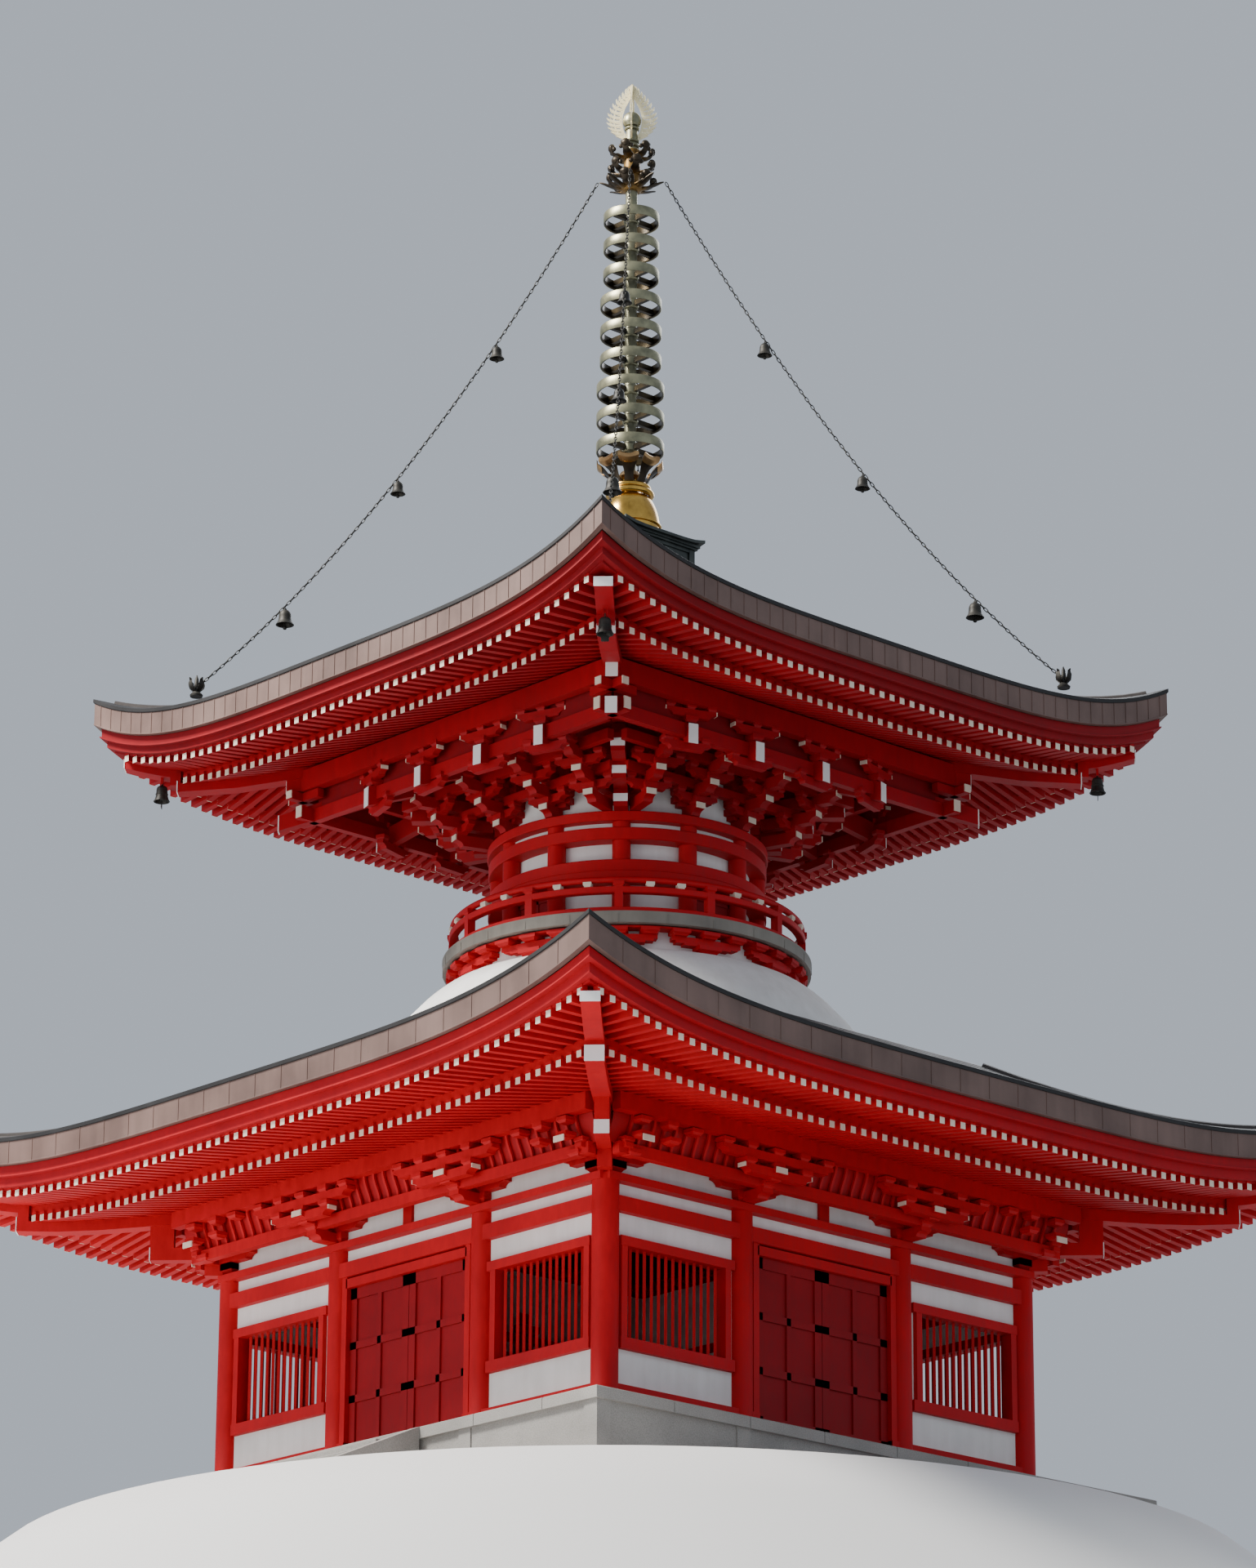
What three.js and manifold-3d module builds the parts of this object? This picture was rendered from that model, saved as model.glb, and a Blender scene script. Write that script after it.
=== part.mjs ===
import * as THREE from 'three';
import { ParametricGeometry } from 'three/addons/geometries/ParametricGeometry.js';
import { mergeVertices } from 'three/addons/utils/BufferGeometryUtils.js';
import Module from 'manifold-3d';

const wasm = await Module();
wasm.setup();

// Two-storey pagoda in millimetres, +Z up, front towards -Y, ground at zero
const seat = 0.3;

// Stone platform and steps
const platformHalf = 4000;
const platformTop = 800;
const stepCount = 4;
const stepTread = 320;
const stepsHalf = 1200;

// Square lower storey
const floorTop = 950;
const bayLine = 3000;
const innerPillar = 1150;
const pillarRadius = 140;
const wallOuter = 3060;
const wallInner = 2940;
const sillTop = 1130;
const headLow = 2900;
const headHigh = 3060;
const plateHigh = 3280;
const doorHalf = 950;
const doorTop = 2780;
const windowNear = 1420;
const windowFar = 2730;
const windowLow = 1620;
const windowHigh = 2560;
const friezeTop = 4040;

// Eaves shared by both roofs
const liftPower = 4.2;
const claddingHeight = 300;
const eaveBoardInset = 60;
const eaveBoardHeight = 160;
const flyingInset = 180;
const flyingSlope = 0.14;
const rafterHeight = 100;
const hipHalfWidth = 95;
const hipDrop = 130;
const hipGap = (hipHalfWidth + 1) * Math.SQRT2;
const ringStations = [-1, -0.9, -0.74, -0.48, 0, 0.48, 0.74, 0.9];

// The two roofs: half side, middle eave height, corner lift, wall line of the lift,
// then how far the rafter courses lie below the eave and inside its edge
const lowerEave = {
  half: 5500, top: 4420, lift: 550, start: 3060, inner: 2900,
  flyingDrop: 605, baseInset: 850, baseDrop: 174, slope: 0.2,
};
const upperEave = {
  half: 4250, top: 9400, lift: 545, start: 2100, inner: 1250,
  flyingDrop: 580, baseInset: 660, baseDrop: 142, slope: 0.32,
};

// Round drum, dome and balcony
const deckLow = 6630;
const deckTop = 6770;
const deckRadius = 2030;
const domeSeat = 5200;
const domeRadius = 2720;
const domeTop = 6380;
const drumInner = 1260;
const drumOuter = 1360;
const drumTop = 7940;
const ringTop = 8050;
const pillarCircle = 1420;
const drumPillarRadius = 100;
const bandOuter = 1545;
const railCircle = 1920;
const railTop = 7180;
const drumFriezeTop = 9100;

// Bracket rows of the upper storey
const rowNear = 360;
const rowFar = 1030;
const rowRoot = 1370;
const fanNear = 6;
const fanFar = 17.8;
const armHalf = 62;
const purlinLow = 8800;
const purlinHigh = 9110;
const purlinIn = 2500;
const purlinOut = 2630;

// Spire
const basinLow = 11320;
const basinTop = 11770;
const ringCount = 9;
const ringPitch = 355;
const ringBase = 12836;
const ringHeight = 115;
const leafLow = 16090;
const chainReach = 4850;
const chainSag = 550;

// Small helpers for shapes
function orient(geometry) {
  const position = geometry.attributes.position;
  const index = Array.from(geometry.index.array);
  const kept = [];
  const a = new THREE.Vector3();
  const b = new THREE.Vector3();
  const c = new THREE.Vector3();
  let volume = 0;
  for (let i = 0; i < index.length; i += 3) {
    const [p, q, r] = [index[i], index[i + 1], index[i + 2]];
    if (p === q || q === r || r === p) continue;
    kept.push(p, q, r);
    a.fromBufferAttribute(position, p);
    b.fromBufferAttribute(position, q);
    c.fromBufferAttribute(position, r);
    volume += a.dot(b.cross(c));
  }
  if (volume < 0) kept.reverse();
  return kept;
}

function solid(geometry) {
  const plain = geometry.clone();
  plain.deleteAttribute('normal');
  plain.deleteAttribute('uv');
  const merged = mergeVertices(plain, 0.001);
  const triVerts = new Uint32Array(orient(merged));
  const vertProperties = new Float32Array(merged.attributes.position.array);
  return new wasm.Manifold(new wasm.Mesh({ numProp: 3, vertProperties, triVerts }));
}

function geometryOf(body) {
  const mesh = body.getMesh();
  const geometry = new THREE.BufferGeometry();
  geometry.setAttribute('position', new THREE.BufferAttribute(new Float32Array(mesh.vertProperties), 3));
  geometry.setIndex(new THREE.BufferAttribute(new Uint32Array(mesh.triVerts), 1));
  geometry.computeVertexNormals();
  return geometry;
}

function join(bodies) {
  return bodies.reduce((sum, body) => sum.add(body));
}

function boxShape(x0, x1, y0, y1, z0, z1) {
  const box = new THREE.BoxGeometry(x1 - x0, y1 - y0, z1 - z0);
  return box.translate((x0 + x1) / 2, (y0 + y1) / 2, (z0 + z1) / 2);
}

function box(x0, x1, y0, y1, z0, z1) {
  return solid(boxShape(x0, x1, y0, y1, z0, z1));
}

// Box on the front face: u across, w outwards
function faceBox(u0, u1, w0, w1, z0, z1) {
  return box(u0, u1, -w1, -w0, z0, z1);
}

function post(x, y, radius, z0, z1, sides = 12) {
  const cylinder = new THREE.CylinderGeometry(radius, radius, z1 - z0, sides);
  cylinder.rotateX(Math.PI / 2);
  return solid(cylinder.translate(x, y, (z0 + z1) / 2));
}

function lathe(points, sides) {
  const profile = points.map(([r, z]) => new THREE.Vector2(r, z));
  const turned = new THREE.LatheGeometry(profile, sides);
  return solid(turned.rotateX(Math.PI / 2));
}

function hoop(r0, r1, z0, z1, sides = 24) {
  return lathe([[r0, z0], [r1, z0], [r1, z1], [r0, z1], [r0, z0]], sides);
}

// Outline in (outward, up), thick across, pointing along +X
function blade(points, halfWidth, across = 0) {
  const shape = new THREE.Shape(points.map(([r, z]) => new THREE.Vector2(r, z)));
  const slab = new THREE.ExtrudeGeometry(shape, { depth: 2 * halfWidth, bevelEnabled: false });
  slab.rotateX(Math.PI / 2);
  return slab.translate(0, halfWidth + across, 0);
}

function rotated(geometry, degrees) {
  return geometry.clone().rotateZ(THREE.MathUtils.degToRad(degrees));
}

// Eave lift at outward distance w and sideways distance u
function liftAt(eave, w, u) {
  const reach = Math.max(0, (w - eave.start) / (eave.half - eave.start));
  return eave.lift * reach * Math.pow(Math.abs(u) / eave.half, liftPower);
}

// Closed profile carried round a square, lifted towards the corners
function squareRing(profile, eave) {
  const loop = [...profile, profile[0]];
  const stacks = loop.length - 1;
  const perSide = ringStations.length;
  const slices = 4 * perSide;
  const place = (around, along, target) => {
    const station = Math.round(around * slices) % slices;
    const [w, z] = loop[Math.round(along * stacks)];
    const u = w * ringStations[station % perSide];
    const turn = (Math.floor(station / perSide) * Math.PI) / 2;
    const x = u * Math.cos(turn) + w * Math.sin(turn);
    const y = u * Math.sin(turn) - w * Math.cos(turn);
    target.set(x, y, z + liftAt(eave, w, u));
  };
  return solid(new ParametricGeometry(place, slices, stacks));
}

// Underside of the two rafter courses and the board that they carry
function flyingLow(eave, w) {
  const out = eave.half - flyingInset - w;
  return eave.top - eave.flyingDrop + flyingSlope * out;
}

function baseLow(eave, w) {
  const start = eave.half - eave.baseInset;
  return flyingLow(eave, start) - eave.baseDrop + eave.slope * (start - w);
}

function rafterCourse(eave) {
  const boardTop = eave.top - claddingHeight - seat;
  const boardOut = eave.half - eaveBoardInset;
  const flyingOut = eave.half - flyingInset;
  const baseOut = eave.half - eave.baseInset;
  const skin = rafterHeight + 25;
  const inner = eave.inner;
  const profile = [
    [boardOut, boardTop],
    [boardOut, boardTop - eaveBoardHeight],
    [flyingOut, boardTop - eaveBoardHeight],
    [flyingOut, flyingLow(eave, flyingOut)],
    [baseOut, flyingLow(eave, baseOut)],
    [baseOut, baseLow(eave, baseOut)],
    [(baseOut + inner) / 2, baseLow(eave, (baseOut + inner) / 2)],
    [inner, baseLow(eave, inner)],
    [inner, baseLow(eave, inner) + skin],
    [(baseOut + inner) / 2, baseLow(eave, (baseOut + inner) / 2) + skin],
    [baseOut, flyingLow(eave, baseOut) + skin],
    [boardOut - 190, boardTop],
  ];
  return squareRing(profile, eave);
}

// Curved hip beam below the rafter courses, pointing along +X
function hipBeam(eave, r0, r1, low, drop) {
  const steps = 5;
  const under = [];
  const over = [];
  for (let i = 0; i <= steps; i += 1) {
    const r = r0 + ((r1 - r0) * i) / steps;
    const w = r / Math.SQRT2;
    const z = low(eave, w) + liftAt(eave, w, w);
    under.push([r, z - drop]);
    over.unshift([r, z + 30]);
  }
  return blade([...under, ...over], hipHalfWidth);
}

// Base and flying hip beams with the block between them
function hipBeams(eave, start, baseEnd, end) {
  const baseOut = eave.half - eave.baseInset;
  const corner = baseOut * Math.SQRT2;
  const lift = liftAt(eave, baseOut, baseOut);
  const low = baseLow(eave, baseOut) + lift - 50;
  return [
    solid(hipBeam(eave, start, baseEnd, baseLow, hipDrop)),
    solid(hipBeam(eave, corner - 100, end, flyingLow, hipDrop - 30)),
    box(corner - 170, corner + 25, -hipHalfWidth, hipHalfWidth, low, flyingLow(eave, baseOut) + lift),
  ];
}

const sides = [['front', 0], ['right', 90], ['back', 180], ['left', 270]];
const corners = [['front_right', -45], ['back_right', 45], ['back_left', 135], ['front_left', 225]];

const group = new THREE.Group();

function material(name, color, metalness = 0, roughness = 0.6) {
  const entry = new THREE.MeshStandardMaterial({ color, metalness, roughness });
  entry.name = name;
  return entry;
}

const finishes = {
  stone: () => material('grey_stone', 0x9a958c),
  timber: () => material('red_timber', 0xb31c1e),
  floor: () => material('floor_boards', 0x8a6a4a),
  plaster: () => material('white_plaster', 0xebebe8),
  copper: () => material('copper_roof', 0x6f625c, 0.6, 0.5),
  deck: () => material('deck_edge', 0x96968c),
  bronze: () => material('bronze', 0x7d7450, 0.9, 0.4),
  gold: () => material('gilt', 0xd8b450, 1, 0.3),
};

function add(name, finish, shape) {
  const geometry = shape.isBufferGeometry ? shape : geometryOf(shape);
  const mesh = new THREE.Mesh(geometry, finishes[finish]());
  mesh.name = name;
  group.add(mesh);
}


// Platform and steps
add('stone_platform', 'stone', box(-platformHalf, platformHalf, -platformHalf, platformHalf, 0, platformTop));

function frontSteps() {
  const back = -platformHalf - seat;
  const blocks = [];
  for (let i = 0; i < stepCount; i += 1) {
    const top = (platformTop * (stepCount - i)) / (stepCount + 1);
    blocks.push(box(-stepsHalf, stepsHalf, back - stepTread * (i + 1), back, 0, top));
  }
  for (const side of [-1, 1]) {
    const cheek = blade([[0, 0], [stepTread * stepCount + 120, 0], [stepTread * stepCount + 120, 160],
      [200, platformTop - 10], [0, platformTop - 10]], 90, side * (stepsHalf + 60));
    cheek.rotateZ(-Math.PI / 2);
    blocks.push(solid(cheek.translate(0, back, 0)));
  }
  return join(blocks);
}

add('front_steps', 'stone', frontSteps());

// Wooden floor of the lower storey
const floorHalf = bayLine - pillarRadius - seat;
add('lower_floor', 'floor', box(-floorHalf, floorHalf, -floorHalf, floorHalf, platformTop + seat, floorTop));

// Timber walls with sill, ties, pillars and openings
function storeyWall(withCorners) {
  const end = withCorners ? bayLine : bayLine - pillarRadius - seat;
  const base = platformTop + seat;
  const pieces = [
    faceBox(-end, end, wallInner, wallOuter, base, plateHigh),
    faceBox(-end, end, wallInner - 50, wallOuter + 50, base, sillTop),
    faceBox(-end, end, wallInner - 40, wallOuter + 40, headLow, headHigh),
  ];
  const lines = withCorners ? [-bayLine, -innerPillar, innerPillar, bayLine] : [-innerPillar, innerPillar];
  for (const u of lines) pieces.push(post(u, -bayLine, pillarRadius, base, plateHigh, 8));
  let wall = join(pieces);
  for (const side of [-1, 1]) {
    const u0 = Math.min(side * windowNear, side * windowFar);
    const u1 = Math.max(side * windowNear, side * windowFar);
    wall = wall.subtract(faceBox(u0, u1, 2700, 3300, windowLow, windowHigh));
  }
  wall = wall.subtract(faceBox(-doorHalf, doorHalf, 2700, 3300, floorTop + 30, doorTop));
  return wall;
}

const longWall = storeyWall(true);
const cornerPosts = join([[1, 1], [1, -1], [-1, 1], [-1, -1]].map(([sx, sy]) => (
  box(sx * bayLine - 165, sx * bayLine + 165, sy * bayLine - 165, sy * bayLine + 165, 0, 3500))));
const plateEnds = join([-1, 1].map((s) => (
  box(-3400, 3400, s * bayLine - 145, s * bayLine + 145, 0, 3500))));
const shortWall = geometryOf(storeyWall(false));
add('front_wall', 'timber', longWall);
add('back_wall', 'timber', rotated(geometryOf(longWall), 180));
add('right_wall', 'timber', solid(rotated(shortWall, 90)).subtract(plateEnds));
add('left_wall', 'timber', solid(rotated(shortWall, 270)).subtract(plateEnds));

// Closed double doors with stiles and rails
function storeyDoors() {
  const low = floorTop + 30 + seat;
  const high = doorTop - seat;
  const half = doorHalf - seat;
  const leafIn = bayLine - 30;
  const leafOut = bayLine + 10;
  const pieces = [faceBox(-half, half, leafIn, leafOut, low, high)];
  for (const u of [-half, -90, half - 90]) {
    pieces.push(faceBox(u, u < -90 || u > 0 ? u + 90 : 90, leafIn, leafOut + 18, low, high));
  }
  for (const z of [low, high - 110]) {
    pieces.push(faceBox(-half, half, leafIn, leafOut + 18, z, z + 110));
  }
  return geometryOf(join(pieces));
}

const doors = storeyDoors();
for (const [name, turn] of sides) add(`${name}_doors`, 'timber', rotated(doors, turn));

// Plaster frieze above the plate, between the bracket sets
const friezeOut = wallOuter;
add('lower_frieze', 'plaster', box(-friezeOut, friezeOut, -friezeOut, friezeOut, plateHigh + seat, friezeTop)
  .subtract(box(-wallInner, wallInner, -wallInner, wallInner, 3000, 4500)));

// Lower roof bracket sets: two steps out from the wall to the purlin
const lowerTieOut = 3420;
const lowerPurlinOut = 3600;
const lowerPurlinIn = 3480;
const lowerPurlinLow = 3780;
const lowerArmLow = 3455;

const lowerSlab = rafterCourse(lowerEave);
const upperSlab = rafterCourse(upperEave);

function clearOf(body, other, shift) {
  const shifted = solid(geometryOf(other).translate(0, 0, shift));
  return body.subtract(other).subtract(shifted);
}

function below(body, slab) {
  return clearOf(body, slab, -seat);
}

function frontSector(gap) {
  const far = 9000;
  const wedge = new THREE.Shape();
  wedge.moveTo(0, -gap);
  wedge.lineTo(far, -far - gap);
  wedge.lineTo(-far, -far - gap);
  const prism = new THREE.ExtrudeGeometry(wedge, { depth: 12000, bevelEnabled: false });
  return solid(prism);
}

function lowerBracketSide() {
  const purlinTop = baseLow(lowerEave, lowerPurlinOut) + 30;
  const front = friezeOut + seat;
  const pieces = [
    faceBox(-3700, 3700, lowerPurlinIn, lowerPurlinOut, lowerPurlinLow, purlinTop),
    faceBox(-3700, 3700, lowerTieOut - 100, lowerTieOut, 3390, 3510),
    faceBox(-3700, 3700, front, front + 100, 3660, 3800),
  ];
  for (const u of [-bayLine, -innerPillar, innerPillar, bayLine]) {
    const arm = blade([[front, plateHigh + seat], [3330, plateHigh + seat], [lowerTieOut + 10, 3330],
      [lowerTieOut + 10, 3390], [3570, 3390], [3640, 3440], [3640, 3560], [lowerPurlinOut, 3580],
      [lowerPurlinOut, lowerPurlinLow + 10], [lowerPurlinIn, lowerPurlinLow + 10], [lowerPurlinIn, 3570],
      [front + 100, 3570], [front + 80, 3700], [front, 3700]], 75);
    pieces.push(solid(arm.rotateZ(-Math.PI / 2).translate(u, 0, 0)));
    pieces.push(faceBox(u - 470, u + 470, lowerPurlinIn, lowerPurlinOut, lowerArmLow, lowerArmLow + 90));
    pieces.push(faceBox(u - 780, u + 780, lowerPurlinIn, lowerPurlinOut, 3620, 3700));
  }
  const body = join(pieces).intersect(frontSector(hipGap));
  return geometryOf(below(body, lowerSlab));
}

const lowerBrackets = lowerBracketSide();
for (const [name, turn] of sides) add(`lower_brackets_${name}`, 'timber', rotated(lowerBrackets, turn));

// Diagonal bracket sets and hip rafters
function lowerHip() {
  const start = (friezeOut + seat) * Math.SQRT2 + 20;
  const end = lowerPurlinOut * Math.SQRT2;
  const pieces = [
    box(start, start + 200, -75, 75, plateHigh + seat, 4050),
    box(start, end + 60, -75, 75, lowerArmLow, lowerArmLow + 140),
    box(end - 200, end + 60, -75, 75, lowerArmLow + 100, 3900),
    ...hipBeams(lowerEave, start, 6616, 7450),
  ];
  return geometryOf(join(pieces));
}

function hipBelow(geometry, slab) {
  return corners.map(([name, turn]) => [name, below(solid(rotated(geometry, turn)), slab)]);
}

for (const [name, body] of hipBelow(lowerHip(), lowerSlab)) add(`lower_hip_${name}`, 'timber', body);
add('lower_rafters', 'timber', lowerSlab);

// Lower roof with a round seat for the dome
function lowerRoof() {
  const { half, top } = lowerEave;
  const low = top - claddingHeight;
  const profile = [
    [half, low], [half, top], [4800, 4660], [4000, 4970], [3300, 5280], [2730, 5600], [1700, 5600],
    [1700, 4950], [3300, 4950], [4000, 4640], [4800, 4360], [half - 250, low], [half - eaveBoardInset, low],
  ];
  const deep = hoop(0.001, domeRadius + seat, domeSeat, 7000).add(post(0, 0, 400, domeSeat, 7000));
  const narrow = post(0, 0, 2450, 4000, 7000, 24);
  return squareRing(profile, lowerEave).subtract(deep).subtract(narrow);
}

add('lower_roof', 'copper', lowerRoof());

// Plaster dome shell
const domeIn = 2470;
add('plaster_dome', 'plaster', lathe([
  [domeIn, domeSeat + seat], [domeRadius, domeSeat + seat], [2690, 5540], [2560, 5830], [2390, 6030],
  [2200, 6220], [1985, domeTop], [1700, domeTop], [1700, 6260], [2020, 6130], [2230, 5940], [2400, 5700],
  [domeIn, 5480], [domeIn, domeSeat + seat],
], 24));

// Ring of brackets under the balcony
function balconyBrackets() {
  const low = domeTop + seat;
  const pieces = [hoop(1720, 1900, low, deckLow - seat)];
  const count = 24;
  for (let i = 0; i < count; i += 1) {
    const block = boxShape(1800, 1990, -85, 85, 6520, 6600);
    pieces.push(solid(rotated(block, ((i + 0.5) * 360) / count)));
  }
  return join(pieces);
}

add('balcony_brackets', 'timber', balconyBrackets());
add('balcony_deck', 'deck', lathe([[0, deckLow], [deckRadius, deckLow], [deckRadius, deckTop], [0, deckTop]], 24));

// Low round railing
function balconyRailing() {
  const low = deckTop + seat;
  const pieces = [
    hoop(railCircle - 45, railCircle + 45, low, low + 90),
    hoop(railCircle - 38, railCircle + 38, railTop - 75, railTop),
  ];
  for (let i = 0; i < 12; i += 1) {
    const stile = boxShape(railCircle - 42, railCircle + 42, -42, 42, low + 10, railTop - 10);
    pieces.push(solid(rotated(stile, i * 30 + 15)));
  }
  return join(pieces);
}

add('balcony_railing', 'timber', balconyRailing());

// Drum frame: twelve pillars and the bands around them
function drumFrame() {
  const low = deckTop + seat;
  const inner = drumOuter + seat;
  const pieces = [
    hoop(inner, bandOuter, 7260, 7510),
    hoop(inner, bandOuter, 7730, 7870),
    hoop(inner, bandOuter, drumTop, ringTop),
  ];
  for (let i = 0; i < 12; i += 1) {
    const angle = ((i * 30 + 15) * Math.PI) / 180;
    const x = pillarCircle * Math.cos(angle);
    const y = pillarCircle * Math.sin(angle);
    pieces.push(post(x, y, drumPillarRadius, low, ringTop - 10, 8));
  }
  return join(pieces).subtract(post(0, 0, inner, 6000, 9000, 24));
}

add('drum_frame', 'timber', drumFrame());

// Drum wall in four quarters, each with a doorway
const drumDoorHalf = 300;
const drumDoorLow = 6830;
const drumDoorTop = 7250;

function drumWalls() {
  const tube = hoop(drumInner, drumOuter, deckTop + seat, ringTop);
  const cut = box(-drumDoorHalf, drumDoorHalf, -1700, 0, drumDoorLow, drumDoorTop);
  return geometryOf(tube.intersect(frontSector(seat)).subtract(cut));
}

const drumWall = drumWalls();
for (const [name, turn] of sides) add(`drum_wall_${name}`, 'plaster', rotated(drumWall, turn));

function drumDoors() {
  const half = drumDoorHalf - seat;
  const low = drumDoorLow + seat;
  const high = drumDoorTop - seat;
  const leaves = hoop(drumInner + 20, drumOuter - 30, low, high);
  const stile = hoop(drumInner + 20, drumOuter - 10, low, high).intersect(faceBox(-35, 35, 1000, 1600, low, high));
  return geometryOf(leaves.intersect(faceBox(-half, half, 1000, 1600, low, high)).add(stile));
}

const upperDoors = drumDoors();
for (const [name, turn] of sides) add(`drum_doors_${name}`, 'timber', rotated(upperDoors, turn));

// Round plaster frieze behind the upper brackets
add('drum_frieze', 'plaster', hoop(drumInner, 1370, ringTop + seat, drumFriezeTop));

// Upper bracket sets: stepped arms, tails and the beams that tie the rows
const armProfile = [
  [1600, 8050 + seat], [1600, 8190], [1585, 8250], [1850, 8250], [1850, 8390], [1835, 8440],
  [2100, 8440], [2100, 8580], [2085, 8640], [1500, 8790],
];
const tailOuter = 2650;
const tailInner = 1345;

function tailBlade(u) {
  const at = (w, z) => [w, z + 0.34 * (tailOuter - w)];
  const shape = blade([at(tailInner, 8360), [tailOuter, 8360], [tailOuter, 8580], at(purlinOut - 20, 8580),
    [purlinOut - 20, purlinLow + 10], [purlinIn, purlinLow + 10], at(purlinIn, 8580), at(tailInner, 8580)], 52);
  return fanned(shape, u);
}

// Turns a row along +X to the front, fanned outward about its root
function fanned(shape, u) {
  const fan = Math.sign(u) * THREE.MathUtils.degToRad(Math.abs(u) === rowNear ? fanNear : fanFar);
  return solid(shape.translate(-rowRoot, 0, 0).rotateZ(fan - Math.PI / 2).translate(u, -rowRoot, 0));
}

function upperBracketSide() {
  const pieces = [
    faceBox(-2600, 2600, 1750, 1850, 8440, 8580),
    faceBox(-2600, 2600, 2000, 2100, 8630, 8780),
    faceBox(-2800, 2800, purlinIn, purlinOut, purlinLow, purlinHigh),
  ];
  for (const u of [-rowFar, -rowNear, rowNear, rowFar]) {
    const start = Math.abs(u) === rowNear ? 1345 : 1150;
    const arms = blade([[start, 8050 + seat], ...armProfile, [start, 8790]], armHalf);
    pieces.push(fanned(arms, u));
    pieces.push(tailBlade(u));
  }
  const body = join(pieces).intersect(frontSector(hipGap));
  return geometryOf(below(body, upperSlab));
}

const upperBrackets = upperBracketSide();
for (const [name, turn] of sides) add(`upper_brackets_${name}`, 'timber', rotated(upperBrackets, turn));

// Wind bell hook under each upper hip
const bellReach = 5200;
const bellPinZ = 8935;
const pinRadius = 8;
const cheekIn = 17;
const cheekOut = 27;

function bellHook() {
  const pieces = [];
  for (const side of [-1, 1]) {
    const y0 = Math.min(side * cheekIn, side * cheekOut);
    pieces.push(box(bellReach - 14, bellReach + 14, y0, y0 + cheekOut - cheekIn, bellPinZ - 16, bellPinZ + 140));
  }
  const pin = new THREE.CylinderGeometry(pinRadius, pinRadius, 2 * cheekOut, 10);
  pieces.push(solid(pin.translate(bellReach, 0, bellPinZ)));
  return join(pieces);
}

function upperHip() {
  const start = 1370 + seat;
  const pieces = [
    solid(blade([[start, ringTop + seat], [1700, ringTop + seat], [1700, 8190], [1680, 8250], [2050, 8250],
      [2050, 8390], [2030, 8440], [2400, 8440], [2400, 8580], [2380, 8650], [1700, 9440], [start, 9440]], 75)),
    solid(blade([[start + 10, 9000], [2950, 8650], [2950, 8870], [start + 10, 9220]], 62)),
    solid(blade([[2500, 8890], [3800, 8790], [3800, 8960], [3300, 9130], [2500, 9300]], 75)),
    ...hipBeams(upperEave, 1700, 5020, 5620),
    bellHook(),
  ];
  return geometryOf(join(pieces));
}

for (const [name, body] of hipBelow(upperHip(), upperSlab)) add(`upper_hip_${name}`, 'timber', body);
add('upper_rafters', 'timber', upperSlab);

// Upper roof
function upperRoof() {
  const { half, top } = upperEave;
  const low = top - claddingHeight;
  const rise = basinLow - top;
  const peak = 560;
  const topAt = (w) => {
    const t = (half - w) / (half - peak);
    return top + rise * (0.62 * t + 0.38 * t * t);
  };
  const stations = [3500, 2700, 1900, 1200];
  const upper = stations.map((w) => [w, topAt(w)]);
  const lower = stations.map((w) => [w, topAt(w) - 230]).reverse();
  const profile = [
    [half, low], [half, top], ...upper, [peak, basinLow], [250, basinLow],
    [250, basinLow - 260], [peak, basinLow - 260], ...lower, [half - 250, low],
    [half - eaveBoardInset, low],
  ];
  return squareRing(profile, upperEave);
}

const roofOfUpper = upperRoof();
add('upper_roof', 'copper', roofOfUpper);

// Square dew basin with a cornice
function squareBlock(half, z0, z1) {
  return box(-half, half, -half, half, z0, z1);
}

add('dew_basin', 'bronze', join([
  squareBlock(560, basinLow + seat, basinLow + 90),
  squareBlock(520, basinLow + 60, basinTop - 60),
  squareBlock(575, basinTop - 110, basinTop - 70),
  squareBlock(605, basinTop - 80, basinTop),
]));

// Inverted bowl and lotus
add('inverted_bowl', 'gold', lathe([
  [0, basinTop + seat], [350, basinTop + seat], [330, basinTop + 100],
  [325, 12120], [300, 12250], [255, 12360], [200, 12440], [130, 12470], [290, 12560], [350, 12690],
  [200, 12620], [90, 12600], [0, 12600],
], 20));

// Pole with nine rings on spokes
function spireRings() {
  const poleTop = leafLow - seat;
  const pieces = [post(0, 0, 62, 12600 + seat, poleTop, 8)];
  for (let i = 0; i < ringCount; i += 1) {
    const low = ringBase + ringPitch * i;
    const outer = i < 3 ? 386 : i < 6 ? 352 : 321;
    pieces.push(hoop(outer - 22, outer, low, low + ringHeight, 16));
    const bar = boxShape(-outer + 18, outer - 18, -16, 16, low + 30, low + 75);
    pieces.push(solid(rotated(bar, i % 2 ? 90 : 0)));
  }
  return join(pieces);
}

add('spire_rings', 'bronze', spireRings());

// Leaf tiers, pole end, jewel and flame
function flamingJewel() {
  const pieces = [post(0, 0, 40, leafLow, 17020, 8)];
  const jewel = new THREE.SphereGeometry(95, 10, 6);
  pieces.push(solid(jewel.translate(0, 0, 17030)));
  for (const z of [16090, 16290, 16490]) {
    pieces.push(lathe([[0, z], [150, z], [340, z + 90], [340, z + 120], [140, z + 50], [0, z + 60]], 10));
  }
  const flame = [[-60, 16740], [-190, 16850], [-290, 16980], [-300, 17100], [-230, 17230], [-120, 17340],
    [0, 17460], [120, 17340], [230, 17230], [300, 17100], [290, 16980], [190, 16850], [60, 16740]];
  pieces.push(solid(blade(flame, 12)));
  pieces.push(solid(rotated(blade(flame, 12), 90)));
  return join(pieces);
}

add('flaming_jewel', 'gold', flamingJewel());

// Taut chains with bells, from the leaf tiers to the hip finials
const chainHighR = 352 + seat;
const chainHighZ = 16200;

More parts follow.
